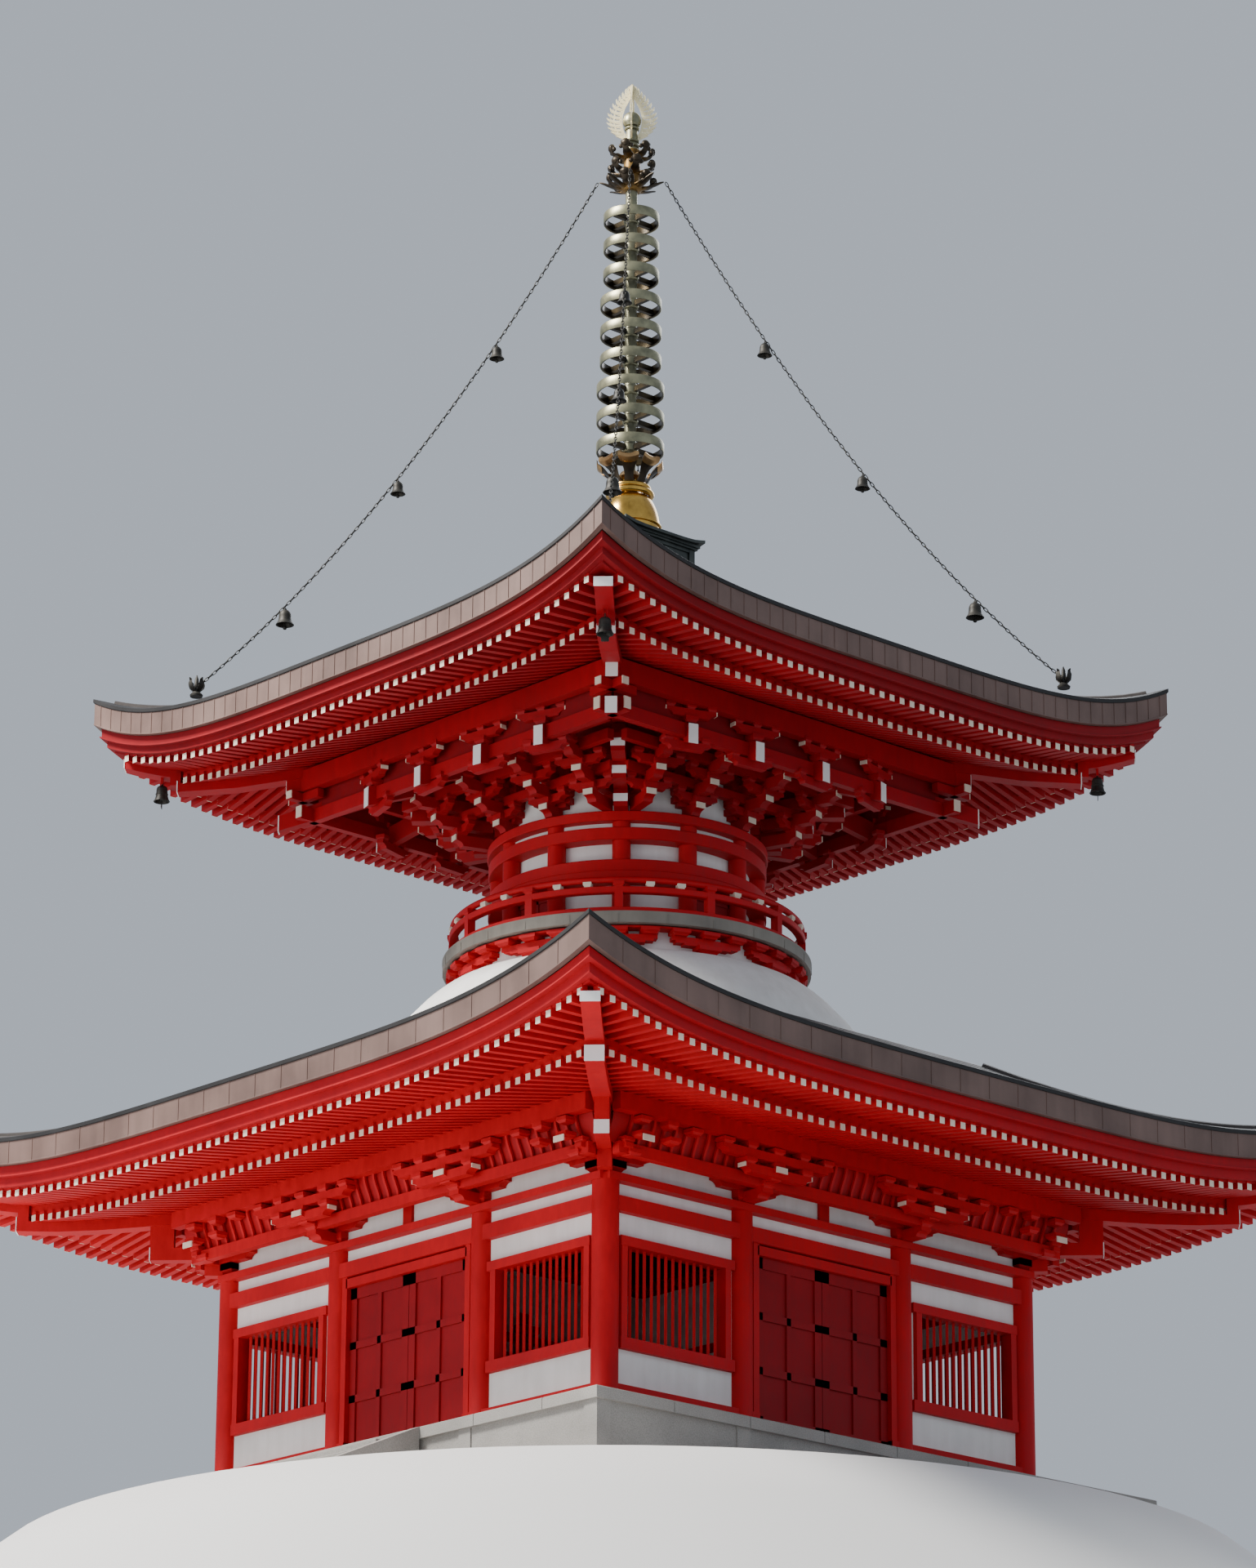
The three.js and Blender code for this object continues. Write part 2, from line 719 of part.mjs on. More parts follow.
function roofTopAt(w) {
  const t = (upperEave.half - w) / (upperEave.half - 560);
  return upperEave.top + (basinLow - upperEave.top) * (0.62 * t + 0.38 * t * t);
}

function chainBell(r, z, size) {
  const bell = lathe([[0, 0], [45, -20], [58, -90], [80, -130], [0, -110]]
    .map(([a, b]) => [a * size, b * size]), 6);
  return solid(geometryOf(bell).translate(r, 0, z));
}

function chainSet() {
  const w = chainReach / Math.SQRT2;
  const roofZ = roofTopAt(w) + liftAt(upperEave, w, w);
  const lowZ = roofZ + 230;
  const points = [];
  const steps = 14;
  for (let i = 0; i <= steps; i += 1) {
    const t = i / steps;
    const r = chainHighR + 20 + (chainReach - chainHighR - 20) * t;
    const z = chainHighZ + (lowZ - chainHighZ) * t - chainSag * 4 * t * (1 - t);
    points.push(new THREE.Vector3(r, 0, z));
  }
  const corner = ([a, b]) => new THREE.Vector2(14 * a, 14 * b);
  const circle = new THREE.Shape([[1, 0], [0, 1], [-1, 0], [0, -1]].map(corner));
  const path = new THREE.CatmullRomCurve3(points);
  const rope = new THREE.ExtrudeGeometry(circle, { steps: 10, extrudePath: path });
  const pieces = [solid(rope)];
  for (const [t, size] of [[0.3, 1], [0.56, 1], [0.82, 1.2]]) {
    const at = path.getPointAt(t);
    pieces.push(chainBell(at.x, at.z + 6, size));
  }
  pieces.push(solid(geometryOf(lathe([[0, -10], [60, -10], [50, 90], [85, 190], [0, 330]], 8))
    .translate(chainReach, 0, roofZ)));
  return geometryOf(join(pieces));
}

const chain = chainSet();
for (const [name, turn] of corners) {
  add(`chain_${name}`, 'bronze', clearOf(solid(rotated(chain, turn)), roofOfUpper, seat));
}

// Wind bells that swing on the hip hooks
function windBell() {
  const eye = new THREE.CylinderGeometry(18, 18, 14, 12).translate(bellReach, 0, bellPinZ);
  const hole = new THREE.CylinderGeometry(pinRadius + 1, pinRadius + 1, 40, 10).translate(bellReach, 0, bellPinZ);
  const shell = lathe([[0, -30], [62, -60], [70, -150], [88, -215], [78, -215], [55, -75], [0, -50]], 8);
  const stem = post(0, 0, 6, -225, -40, 6);
  const clapper = box(-45, 45, -3, 3, -300, -220);
  const hanging = geometryOf(join([shell, stem, clapper])).translate(bellReach, 0, bellPinZ);
  const neck = box(bellReach - 10, bellReach + 10, -7, 7, bellPinZ - 36, bellPinZ - 10);
  return geometryOf(join([solid(eye), neck, solid(hanging)]).subtract(solid(hole)));
}

const bell = windBell();
for (const [name, turn] of corners) add(`wind_bell_${name}`, 'bronze', rotated(bell, turn));

export default group;
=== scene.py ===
import math
from types import SimpleNamespace

import bpy
import numpy as np
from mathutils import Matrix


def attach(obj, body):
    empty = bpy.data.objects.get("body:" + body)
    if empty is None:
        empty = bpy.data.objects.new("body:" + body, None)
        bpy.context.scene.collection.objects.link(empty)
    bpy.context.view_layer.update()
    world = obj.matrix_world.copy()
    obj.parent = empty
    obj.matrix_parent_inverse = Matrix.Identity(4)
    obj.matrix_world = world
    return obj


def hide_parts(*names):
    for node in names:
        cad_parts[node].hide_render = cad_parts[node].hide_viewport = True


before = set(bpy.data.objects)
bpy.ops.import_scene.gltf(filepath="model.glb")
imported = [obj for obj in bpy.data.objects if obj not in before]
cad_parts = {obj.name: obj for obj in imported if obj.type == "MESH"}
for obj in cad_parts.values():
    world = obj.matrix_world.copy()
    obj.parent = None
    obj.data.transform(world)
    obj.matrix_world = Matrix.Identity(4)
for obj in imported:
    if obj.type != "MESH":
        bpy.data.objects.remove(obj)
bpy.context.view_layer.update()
print("frame loaded:", len(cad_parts), "nodes")

sideTurns = {"front": -90, "right": 0, "back": 90, "left": 180}
cornerTurns = {"front_right": -45, "back_right": 45, "back_left": 135, "front_left": 225}
allTurns = list(sideTurns.values())
allCorners = list(cornerTurns.values())

# Mesh helpers. Local axes are out, across and up, and one side of the building is made and then turned.
# A part is (points, faces), where faces is one whole-number array or a list of them.


def blocksOf(faces):
    # faces as a list of arrays, each for one number of corners
    return [np.asarray(block) for block in (faces if isinstance(faces, list) else [faces])]


def flipFaces(faces):
    # the same faces looking the other way: corners in reverse order
    return [block[:, ::-1] for block in blocksOf(faces)]


def repeatFaces(faces, pointCount, copies):
    # faces of each copy: corner numbers raised by pointCount from one copy to the next
    raised = pointCount * np.arange(copies)[:, None, None]
    return [(block + raised).reshape(-1, block.shape[1]) for block in blocksOf(faces)]


def meshOf(name, parts, material, sharp=32):
    # one mesh of all parts: corner numbers raised by the points before, smooth under the sharp angle
    points, loops, sizes, offset = [], [], [], 0
    for partPoints, partFaces in parts:
        points.append(np.asarray(partPoints, float).reshape(-1, 3))
        for block in blocksOf(partFaces):
            loops.append((block + offset).ravel())
            sizes.append(np.full(len(block), block.shape[1]))
        offset += len(points[-1])
    points, loops, sizes = np.concatenate(points), np.concatenate(loops), np.concatenate(sizes)
    starts = np.concatenate([[0], np.cumsum(sizes)[:-1]])
    mesh = bpy.data.meshes.new(name)
    mesh.vertices.add(len(points))
    mesh.loops.add(len(loops))
    mesh.polygons.add(len(sizes))
    mesh.vertices.foreach_set("co", points.astype(np.float32).ravel())
    mesh.loops.foreach_set("vertex_index", loops.astype(np.int32))
    mesh.polygons.foreach_set("loop_start", starts.astype(np.int32))
    mesh.update(calc_edges=True)
    mesh.validate()
    mesh.polygons.foreach_set("use_smooth", np.ones(len(mesh.polygons), bool))
    mesh.set_sharp_from_angle(angle=math.radians(sharp))
    mesh.materials.append(material)
    return mesh


def addObject(name, data):
    # a scene object for a mesh, camera or light
    added = bpy.data.objects.new(name, data)
    bpy.context.scene.collection.objects.link(added)
    return added


def buildPiece(name, parts, material, replaced=(), body="structure"):
    # one piece: its mesh with its finish, the body it rides on and the nodes whose place it takes
    piece = addObject(name, meshOf(name, parts, material))
    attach(piece, body)
    if replaced:
        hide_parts(*replaced)


def turnAbout(points, degrees):
    # x' = x cos a - y sin a, y' = x sin a + y cos a, with one angle or one for each row
    a = np.radians(degrees)
    x, y, z = np.moveaxis(np.asarray(points, float), -1, 0)
    return np.stack([x * np.cos(a) - y * np.sin(a), x * np.sin(a) + y * np.cos(a), z + 0 * a], -1)


def turnParts(parts, degreesList):
    # every part turned about the upright axis by each angle
    return [(turnAbout(points, degrees), faces) for degrees in degreesList for points, faces in parts]


def shiftParts(parts, offset):
    # every point plus one offset
    return [(np.asarray(points, float) + offset, faces) for points, faces in parts]


def onCircle(radius, degrees):
    # x = r cos a, y = r sin a, z = 0
    a = np.radians(np.asarray(degrees, float))
    return np.stack([radius * np.cos(a), radius * np.sin(a), 0 * a], -1)


def gridFaces(rows, cols, closeRows=False, closeCols=False):
    # quad (i, j), (i+1, j), (i+1, j+1), (i, j+1) on a rows x cols grid
    i, j = np.meshgrid(np.arange(rows if closeRows else rows - 1),
                       np.arange(cols if closeCols else cols - 1), indexing="ij")
    i2, j2 = (i + 1) % rows, (j + 1) % cols
    quads = [i * cols + j, i2 * cols + j, i2 * cols + j2, i * cols + j2]
    return np.stack(quads, -1).reshape(-1, 4)


def tubeFaces(rows, cols, reverse=False):
    # quads between rows of closed rings, and a cap on the first and the last ring
    ring = np.arange(cols)
    faces = [gridFaces(rows, cols, False, True), np.stack([ring, (rows - 1) * cols + ring[::-1]])]
    return flipFaces(faces) if reverse else faces


def sheetPart(front, back):
    # thin solid between two like grids of points, closed by quads along its rim
    rows, cols = front.shape[:2]
    count = rows * cols
    grid, index = gridFaces(rows, cols), np.arange(count).reshape(rows, cols)
    rim = np.concatenate([index[0, :-1], index[:-1, -1], index[-1, :0:-1], index[:0:-1, 0]])
    after = np.roll(rim, -1)
    edge = np.stack([rim, after, after + count, rim + count], -1)
    return np.concatenate([front, back]).reshape(-1, 3), np.concatenate([grid, grid[:, ::-1] + count, edge])


def boxParts(boxes):
    # each row is out, across and up, from low to high: the box's eight corners and six faces
    corners = np.asarray(boxes, float).reshape(-1, 6)[:, [[0, 2, 4], [1, 2, 4], [1, 3, 4], [0, 3, 4],
                                                           [0, 2, 5], [1, 2, 5], [1, 3, 5], [0, 3, 5]]]
    return [(corners.reshape(-1, 3), repeatFaces(tubeFaces(2, 4, True), 8, len(corners)))]


def bothSides(boxes):
    # the boxes and their mirror images: across changes sign and order
    boxes = np.asarray(boxes, float).reshape(-1, 6)
    return np.vstack([boxes, boxes[:, [0, 1, 3, 2, 4, 5]] * [1, 1, -1, -1, 1, 1]])


def middleBox(out0, out1, half, low, high):
    # box that reaches as far to the left of the middle as to the right
    return (out0, out1, -half, half, low, high)


def rectangle(a0, a1, b0, b1):
    # outline of four corners, counterclockwise
    return [(a0, b0), (a1, b0), (a1, b1), (a0, b1)]


def signedArea(outline):
    # half the sum of the cross products of neighbours, above zero when counterclockwise
    after = np.roll(outline, -1, 0)
    return np.sum(outline[:, 0] * after[:, 1] - after[:, 0] * outline[:, 1]) / 2


def prism(outline, low, high, axis="across"):
    # outline (out, up) carried across, (across, up) carried out, or (out, across) carried up
    outline = np.asarray(outline, float)
    if signedArea(outline) < 0:
        outline = outline[::-1]
    a, b = outline.T
    ends = []
    for level in (low, high):
        c = np.full(len(outline), float(level))
        ends.append(np.stack({"across": (a, c, b), "out": (c, a, b), "up": (a, b, c)}[axis], -1))
    return np.concatenate(ends), tubeFaces(2, len(outline), axis != "across")


def stamp(part, places, turns=0.0):
    # copies of one part: p' = place + p turned about the upright axis
    points, faces = part
    places = np.asarray(places, float).reshape(-1, 3)
    angles = np.broadcast_to(turns, (len(places),))[:, None]
    copies = turnAbout(np.asarray(points)[None], angles) + places[:, None]
    return copies.reshape(-1, 3), repeatFaces(faces, len(points), len(places))


def turned(profile, sides=64, closed=False):
    # x = r(t) cos a, y = r(t) sin a, z = z(t); an end on the axis becomes a single point
    profile = np.asarray(profile, float)
    poles = [k for k in (0, -1) if not closed and profile[k, 0] == 0]
    rings = profile[1 if 0 in poles else 0:-1 if -1 in poles else None]
    a, count = np.arange(sides) * 2 * np.pi / sides, len(rings)
    r, z = rings.T
    grid = np.stack([np.outer(np.cos(a), r), np.outer(np.sin(a), r), z + 0 * a[:, None]], -1)
    points = [grid.reshape(-1, 3)]
    faces = [gridFaces(sides, count, True, closed)]
    around = np.arange(sides)
    after = (around + 1) % sides
    for pole in poles:
        first, second, ring = (after, around, 0) if pole == 0 else (around, after, count - 1)
        tip = np.full(sides, sides * count + len(points) - 1)
        faces.append(np.stack([first * count + ring, second * count + ring, tip], -1))
        points.append([[0, 0, profile[pole, 1]]])
    return np.concatenate(points), faces


def hoop(inner, outer, low, high, sides=96, bevel=0.006):
    # flat ring with its two outer edges eased, carried round the axis
    b = min(bevel, (high - low) / 3, (outer - inner) / 3)
    profile = [(inner, low), (outer - b, low), (outer, low + b), (outer, high - b), (outer - b, high),
               (inner, high)]
    return turned(profile, sides, closed=True)


def circleSection(radius, sides=8):
    # (r cos a, r sin a) at even angles
    a = np.arange(sides) * 2 * np.pi / sides
    return np.stack([radius * np.cos(a), radius * np.sin(a)], -1)


def roundRing(radius, height, wire, wireSides, sides):
    # torus about the upright axis: a circle of the wire's radius carried round it
    return turned(circleSection(wire, wireSides) + [radius, height], sides, closed=True)


def unitRows(vectors):
    # each row divided by its length
    return vectors / np.linalg.norm(vectors, axis=1, keepdims=True)


def sweepPath(path, section):
    # p = path + a side + b over, with side level and square to the path and over square to both
    path, section = np.asarray(path, float), np.asarray(section, float)
    along = unitRows(np.gradient(path, axis=0))
    side = unitRows(np.cross([0.0, 0.0, 1.0], along))
    over = np.cross(along, side)
    points = path[:, None] + section[None, :, :1] * side[:, None] + section[None, :, 1:] * over[:, None]
    return points.reshape(-1, 3), tubeFaces(len(path), len(section), signedArea(section) > 0)


def wireLoop(path, wire, wireSides):
    # round wire along a closed path in the out-up plane: p = path + wire (cos a side + sin a over)
    along = unitRows(np.roll(path, -1, 0) - np.roll(path, 1, 0))
    side = np.array([0.0, 1.0, 0.0])
    over = np.cross(along, side)
    section = circleSection(wire, wireSides)
    points = path[:, None] + section[None, :, :1] * side + section[None, :, 1:] * over[:, None]
    return points.reshape(-1, 3), flipFaces(gridFaces(len(path), wireSides, True, True))


def softCurve(anchors, count=8):
    # smooth run through the anchors: a cubic through each four neighbours
    p = np.asarray(anchors, float)
    p = np.vstack([2 * p[0] - p[1], p, 2 * p[-1] - p[-2]])
    t = np.linspace(0, 1, count, endpoint=False)[:, None]
    runs = []
    for before, start, end, after in zip(p, p[1:], p[2:], p[3:]):
        square = 2 * before - 5 * start + 4 * end - after
        cube = 3 * start - before - 3 * end + after
        runs.append(0.5 * (2 * start + (end - before) * t + square * t ** 2 + cube * t ** 3))
    return np.vstack(runs + [p[-2:-1]])


# Finishes: f holds a new material with its nodes, links, shader and texture coordinates.


def newFinish(name):
    # a material with its shader and the coordinates that every noise reads
    material = bpy.data.materials.new(name)
    material.use_nodes = True
    nodes = material.node_tree.nodes
    return SimpleNamespace(material=material, nodes=nodes, links=material.node_tree.links,
                           shader=nodes["Principled BSDF"], coords=nodes.new("ShaderNodeTexCoord"))


def noiseAt(f, scale, stretch=(1, 1, 1), detail=4, rough=0.55):
    # noise in Object coordinates, stretched along each axis
    mapping = f.nodes.new("ShaderNodeMapping")
    mapping.inputs["Scale"].default_value = stretch
    f.links.new(f.coords.outputs["Object"], mapping.inputs["Vector"])
    noise = f.nodes.new("ShaderNodeTexNoise")
    noise.inputs["Scale"].default_value = scale
    noise.inputs["Detail"].default_value = detail
    noise.inputs["Roughness"].default_value = rough
    f.links.new(mapping.outputs["Vector"], noise.inputs["Vector"])
    return noise.outputs["Fac"]


def rampOf(f, source, stops):
    # colour ramp through the stops, each (place, colour)
    ramp = f.nodes.new("ShaderNodeValToRGB")
    elements = ramp.color_ramp.elements
    while len(elements) < len(stops):
        elements.new(0.5)
    for element, (at, colour) in zip(elements, stops):
        element.position = at
        element.color = (*colour, 1)
    f.links.new(source, ramp.inputs["Fac"])
    return ramp.outputs["Color"]


def colourFrom(f, base, stain, amount):
    # base colour x stain, by the amount
    mix = f.nodes.new("ShaderNodeMix")
    mix.data_type = "RGBA"
    mix.blend_type = "MULTIPLY"
    mix.inputs["Factor"].default_value = amount
    f.links.new(base, mix.inputs["A"])
    f.links.new(stain, mix.inputs["B"])
    f.links.new(mix.outputs["Result"], f.shader.inputs["Base Color"])


def bumpFrom(f, heights, strength, distance):
    # surface normal from heights
    bump = f.nodes.new("ShaderNodeBump")
    bump.inputs["Strength"].default_value = strength
    bump.inputs["Distance"].default_value = distance
    f.links.new(heights, bump.inputs["Height"])
    f.links.new(bump.outputs["Normal"], f.shader.inputs["Normal"])


def spanOf(f, source, low, high, ends="To"):
    # a value from 0 to 1 carried to low to high, or the other way for ends "From"
    span = f.nodes.new("ShaderNodeMapRange")
    span.inputs[ends + " Min"].default_value = low
    span.inputs[ends + " Max"].default_value = high
    f.links.new(source, span.inputs["Value"])
    return span.outputs["Result"]


def roughnessFrom(f, source, low, high):
    # roughness between low and high by the source
    f.links.new(spanOf(f, source, low, high), f.shader.inputs["Roughness"])


def paintedTimber(name, light, deep, grain=14.0):
    # vermilion paint: broad weathering x finer mottling, brushed grain in the bump
    f = newFinish(name)
    broad = noiseAt(f, 0.9, detail=3)
    fine = noiseAt(f, grain, (1, 1, 0.35), detail=6)
    tint = rampOf(f, broad, [(0.3, deep), (0.7, light)])
    mottled = rampOf(f, fine, [(0.25, (0.80, 0.76, 0.74)), (0.65, (1, 1, 1))])
    colourFrom(f, tint, mottled, 0.8)
    roughnessFrom(f, fine, 0.5, 0.72)
    f.shader.inputs["Specular IOR Level"].default_value = 0.22
    bumpFrom(f, fine, 0.25, 0.004)
    return f.material


def limePlaster(name, light, shade, streak=0.35):
    # plaster or pale paint: grey washes x rain streaks, trowel marks in the bump
    f = newFinish(name)
    wash = noiseAt(f, 1.7, detail=5)
    rain = noiseAt(f, 9.0, (1, 1, 0.08), detail=3)
    base = rampOf(f, wash, [(0.25, shade), (0.6, light)])
    streaks = rampOf(f, rain, [(0.35, (0.86, 0.85, 0.82)), (0.6, (1, 1, 1))])
    colourFrom(f, base, streaks, streak)
    bumpFrom(f, noiseAt(f, 40.0, detail=5), 0.18, 0.003)
    f.shader.inputs["Roughness"].default_value = 0.8
    return f.material


def sheetCopper(name, light, mid, dark, metal=0.35):
    # weathered copper sheet: cloudy patina x downward washes, slow dents in the bump
    f = newFinish(name)
    cloud = noiseAt(f, 1.3, detail=6)
    wash = noiseAt(f, 7.0, (1, 1, 0.1), detail=4)
    tone = rampOf(f, cloud, [(0.3, dark), (0.5, mid), (0.72, light)])
    drip = rampOf(f, wash, [(0.3, (0.78, 0.77, 0.76)), (0.62, (1, 1, 1))])
    colourFrom(f, tone, drip, 0.7)
    f.shader.inputs["Metallic"].default_value = metal
    roughnessFrom(f, cloud, 0.42, 0.68)
    bumpFrom(f, noiseAt(f, 3.5, detail=3), 0.25, 0.01)
    return f.material


def castMetal(name, bright, dull, metal=0.9, rough=(0.28, 0.5), scale=6.0):
    # cast bronze or gilding: clouded tone, slightly uneven gloss, fine pits in the bump
    f = newFinish(name)
    cloud = noiseAt(f, scale, detail=5)
    tone = rampOf(f, cloud, [(0.3, dull), (0.65, bright)])
    f.links.new(tone, f.shader.inputs["Base Color"])
    f.shader.inputs["Metallic"].default_value = metal
    roughnessFrom(f, cloud, *rough)
    bumpFrom(f, noiseAt(f, 60.0, detail=3), 0.12, 0.002)
    return f.material


def radialBronze(name, near, far, start, end):
    # bronze whose gilding darkens with the distance from the spire's axis: length of (x, y, 0)
    f = newFinish(name)
    apart = f.nodes.new("ShaderNodeSeparateXYZ")
    f.links.new(f.coords.outputs["Object"], apart.inputs["Vector"])
    level = f.nodes.new("ShaderNodeCombineXYZ")
    f.links.new(apart.outputs["X"], level.inputs["X"])
    f.links.new(apart.outputs["Y"], level.inputs["Y"])
    length = f.nodes.new("ShaderNodeVectorMath")
    length.operation = "LENGTH"
    f.links.new(level.outputs["Vector"], length.inputs[0])
    cloud = noiseAt(f, 14.0, detail=5)
    tone = rampOf(f, spanOf(f, length.outputs["Value"], start, end, "From"), [(0.0, near), (1.0, far)])
    stain = rampOf(f, cloud, [(0.3, (0.45, 0.42, 0.40)), (0.65, (1, 1, 1))])
    colourFrom(f, tone, stain, 0.85)
    f.shader.inputs["Metallic"].default_value = 0.7
    roughnessFrom(f, cloud, 0.3, 0.55)
    bumpFrom(f, cloud, 0.15, 0.003)
    return f.material


def dressedStone(name, light, dark):
    # granite: slow changes of tone x fine speckle, pecked surface in the bump
    f = newFinish(name)
    slow = noiseAt(f, 1.1, detail=4)
    speckle = noiseAt(f, 85.0, detail=5, rough=0.8)
    base = rampOf(f, slow, [(0.3, dark), (0.7, light)])
    grains = rampOf(f, speckle, [(0.36, (0.62, 0.61, 0.6)), (0.55, (1, 1, 1)), (0.7, (1.1, 1.08, 1.05))])
    colourFrom(f, base, grains, 0.8)
    bumpFrom(f, speckle, 0.35, 0.004)
    f.shader.inputs["Roughness"].default_value = 0.82
    return f.material


def floorPlanks(name):
    # planks 0.18 m wide across x, parted by a wave's dark lines, with grain along y
    f = newFinish(name)
    grain = noiseAt(f, 6.0, (8, 0.6, 8), detail=6)
    wave = f.nodes.new("ShaderNodeTexWave")
    wave.inputs["Scale"].default_value = 1.75
    wave.inputs["Distortion"].default_value = 0
    f.links.new(f.coords.outputs["Object"], wave.inputs["Vector"])
    base = rampOf(f, grain, [(0.3, (0.17, 0.09, 0.045)), (0.7, (0.33, 0.2, 0.11))])
    gaps = rampOf(f, wave.outputs["Fac"], [(0.02, (0.3, 0.28, 0.26)), (0.06, (1, 1, 1))])
    colourFrom(f, base, gaps, 1.0)
    bumpFrom(f, grain, 0.2, 0.003)
    f.shader.inputs["Roughness"].default_value = 0.55
    return f.material


redPaint = paintedTimber("red_paint", (0.46, 0.004, 0.011), (0.33, 0.003, 0.009))
# red_paint lightened as painted light, for the lower eaves, lower storey, balcony and drum
litRedPaint = paintedTimber("red_painted_light", (0.60, 0.006, 0.013), (0.46, 0.004, 0.010))
# red_paint darkened as painted shade, for the upper eave's boards and the upper cove boards
shadedRedPaint = paintedTimber("red_painted_shade", (0.29, 0.003, 0.008), (0.21, 0.002, 0.006))
redDoor = paintedTimber("red_door", (0.37, 0.004, 0.010), (0.26, 0.003, 0.008), grain=22.0)
# the white of the painted ends toned beige as painted shade, for rafter caps, bracket end plates and rail
# spacers
shadedEndPaint = limePlaster("pale_ends_painted_shade", (0.84, 0.73, 0.60), (0.72, 0.61, 0.48), streak=0.25)
whitePaint = limePlaster("white_paint", (0.93, 0.93, 0.92), (0.84, 0.84, 0.83), streak=0.15)
whitePlaster = limePlaster("white_plaster", (0.84, 0.84, 0.82), (0.73, 0.73, 0.71))
fasciaCopper = sheetCopper("fascia_copper", (0.188, 0.118, 0.100), (0.152, 0.092, 0.077),
                           (0.108, 0.064, 0.053), metal=0.1)
roofCopper = sheetCopper("roof_copper", (0.078, 0.067, 0.063), (0.062, 0.053, 0.05), (0.048, 0.041, 0.04))
edgeCopper = sheetCopper("edge_copper", (0.026, 0.025, 0.027), (0.018, 0.017, 0.018),
                         (0.012, 0.0115, 0.012))
deckCopper = sheetCopper("deck_copper", (0.29, 0.27, 0.23), (0.225, 0.205, 0.175),
                         (0.15, 0.135, 0.115), metal=0.1)
spireBronze = castMetal("spire_bronze", (0.32, 0.31, 0.20), (0.15, 0.148, 0.10))
darkBronze = castMetal("dark_bronze", (0.045, 0.042, 0.036), (0.018, 0.018, 0.017), 0.6, (0.42, 0.66))
brightGilt = castMetal("bright_gilt", (0.70, 0.43, 0.10), (0.36, 0.20, 0.04), 1.0, (0.12, 0.26), 4.0)
lipGilt = castMetal("lip_gilt", (0.52, 0.33, 0.15), (0.25, 0.13, 0.055), 1.0, (0.2, 0.36), 4.0)
# near-black bronze, painted shade inside the spire rings, on their linings, spokes and knobs
ringShadeBronze = castMetal("ring_inside_painted_shade", (0.062, 0.045, 0.02), (0.016, 0.014, 0.011), 0.8, (0.22, 0.4))
leafBronze = radialBronze("leaf_bronze", (0.33, 0.19, 0.05), (0.045, 0.034, 0.022), 0.08, 0.20)
flameGilt = castMetal("flame_gilt", (0.98, 0.90, 0.62), (0.86, 0.76, 0.46), 0.35, (0.3, 0.5), 9.0)
basinBronze = castMetal("basin_bronze", (0.085, 0.095, 0.088), (0.04, 0.046, 0.045), 0.75, (0.36, 0.6))
greyStone = dressedStone("grey_granite", (0.36, 0.345, 0.32), (0.25, 0.24, 0.225))
plankFloor = floorPlanks("plank_floor")
print("finishes ready")


# Camera, lights and the ground that they stand round

cameraSet = {"turn": 47.7, "away": 59.04, "height": -11.3, "pitch": 18.87, "roll": 0.35,
             "pixels": 6878.0, "photoHeight": 1920, "sensor": 36, "far": 500}


def placeCamera(s):
    # stands away x (sin turn, -cos turn) from the axis; focal length = pixels x sensor / photo height
    lens = bpy.data.cameras.new("view_camera")
    lens.sensor_width = s["sensor"]
    lens.lens = s["pixels"] * s["sensor"] / s["photoHeight"]
    lens.clip_end = s["far"]
    camera = addObject("view_camera", lens)
    turn = math.radians(s["turn"])
    camera.location = (s["away"] * math.sin(turn), -s["away"] * math.cos(turn), s["height"])
    camera.rotation_euler = (math.radians(90 + s["pitch"]), 0, turn)
    camera.rotation_euler.rotate_axis("Z", math.radians(s["roll"]))
    bpy.context.scene.camera = camera


lightSet = {
    "key": dict(turn=-22, tilt=44, away=42, size=12, power=50000, tint=(1.0, 0.96, 0.90)),
    "fill": dict(turn=105, tilt=10, away=46, size=30, power=700, tint=(0.86, 0.92, 1.0)),
    "rear": dict(turn=205, tilt=36, away=44, size=24, power=7400, tint=(0.95, 0.97, 1.0)),
    "below": dict(turn=-10, tilt=-14, away=44, size=26, power=5600, tint=(1.0, 0.96, 0.92)),
}
lightAim = 8  # height of the point that every light looks at
skySet = {"colour": (0.80, 0.88, 1.0, 1), "strength": 0.58}


def placeLights(lights, aim, sky):
    # on a sphere round the aimed point: away x (cos tilt sin turn, -cos tilt cos turn, sin tilt)
    for name, s in lights.items():
        data = bpy.data.lights.new(name, "AREA")
        data.size = s["size"]
        data.energy = s["power"]
        data.color = s["tint"]
        turn, tilt, away = math.radians(s["turn"]), math.radians(s["tilt"]), s["away"]
        level = away * math.cos(tilt)
        light = addObject(name, data)
        light.location = (level * math.sin(turn), -level * math.cos(turn), aim + away * math.sin(tilt))
        light.rotation_euler = (math.radians(90) - tilt, 0, turn)
    world = bpy.data.worlds.new("studio")
    bpy.context.scene.world = world
    world.use_nodes = True
    background = world.node_tree.nodes["Background"]
    background.inputs["Color"].default_value = sky["colour"]
    background.inputs["Strength"].default_value = sky["strength"]


moundSet = {"flat": 6.6, "foot": 34.0, "drop": 13.0, "curve": 0.6, "far": 160.0, "thick": 0.5, "below": 0.002,
            "colour": (0.74, 0.74, 0.73, 1), "roughness": 0.95}


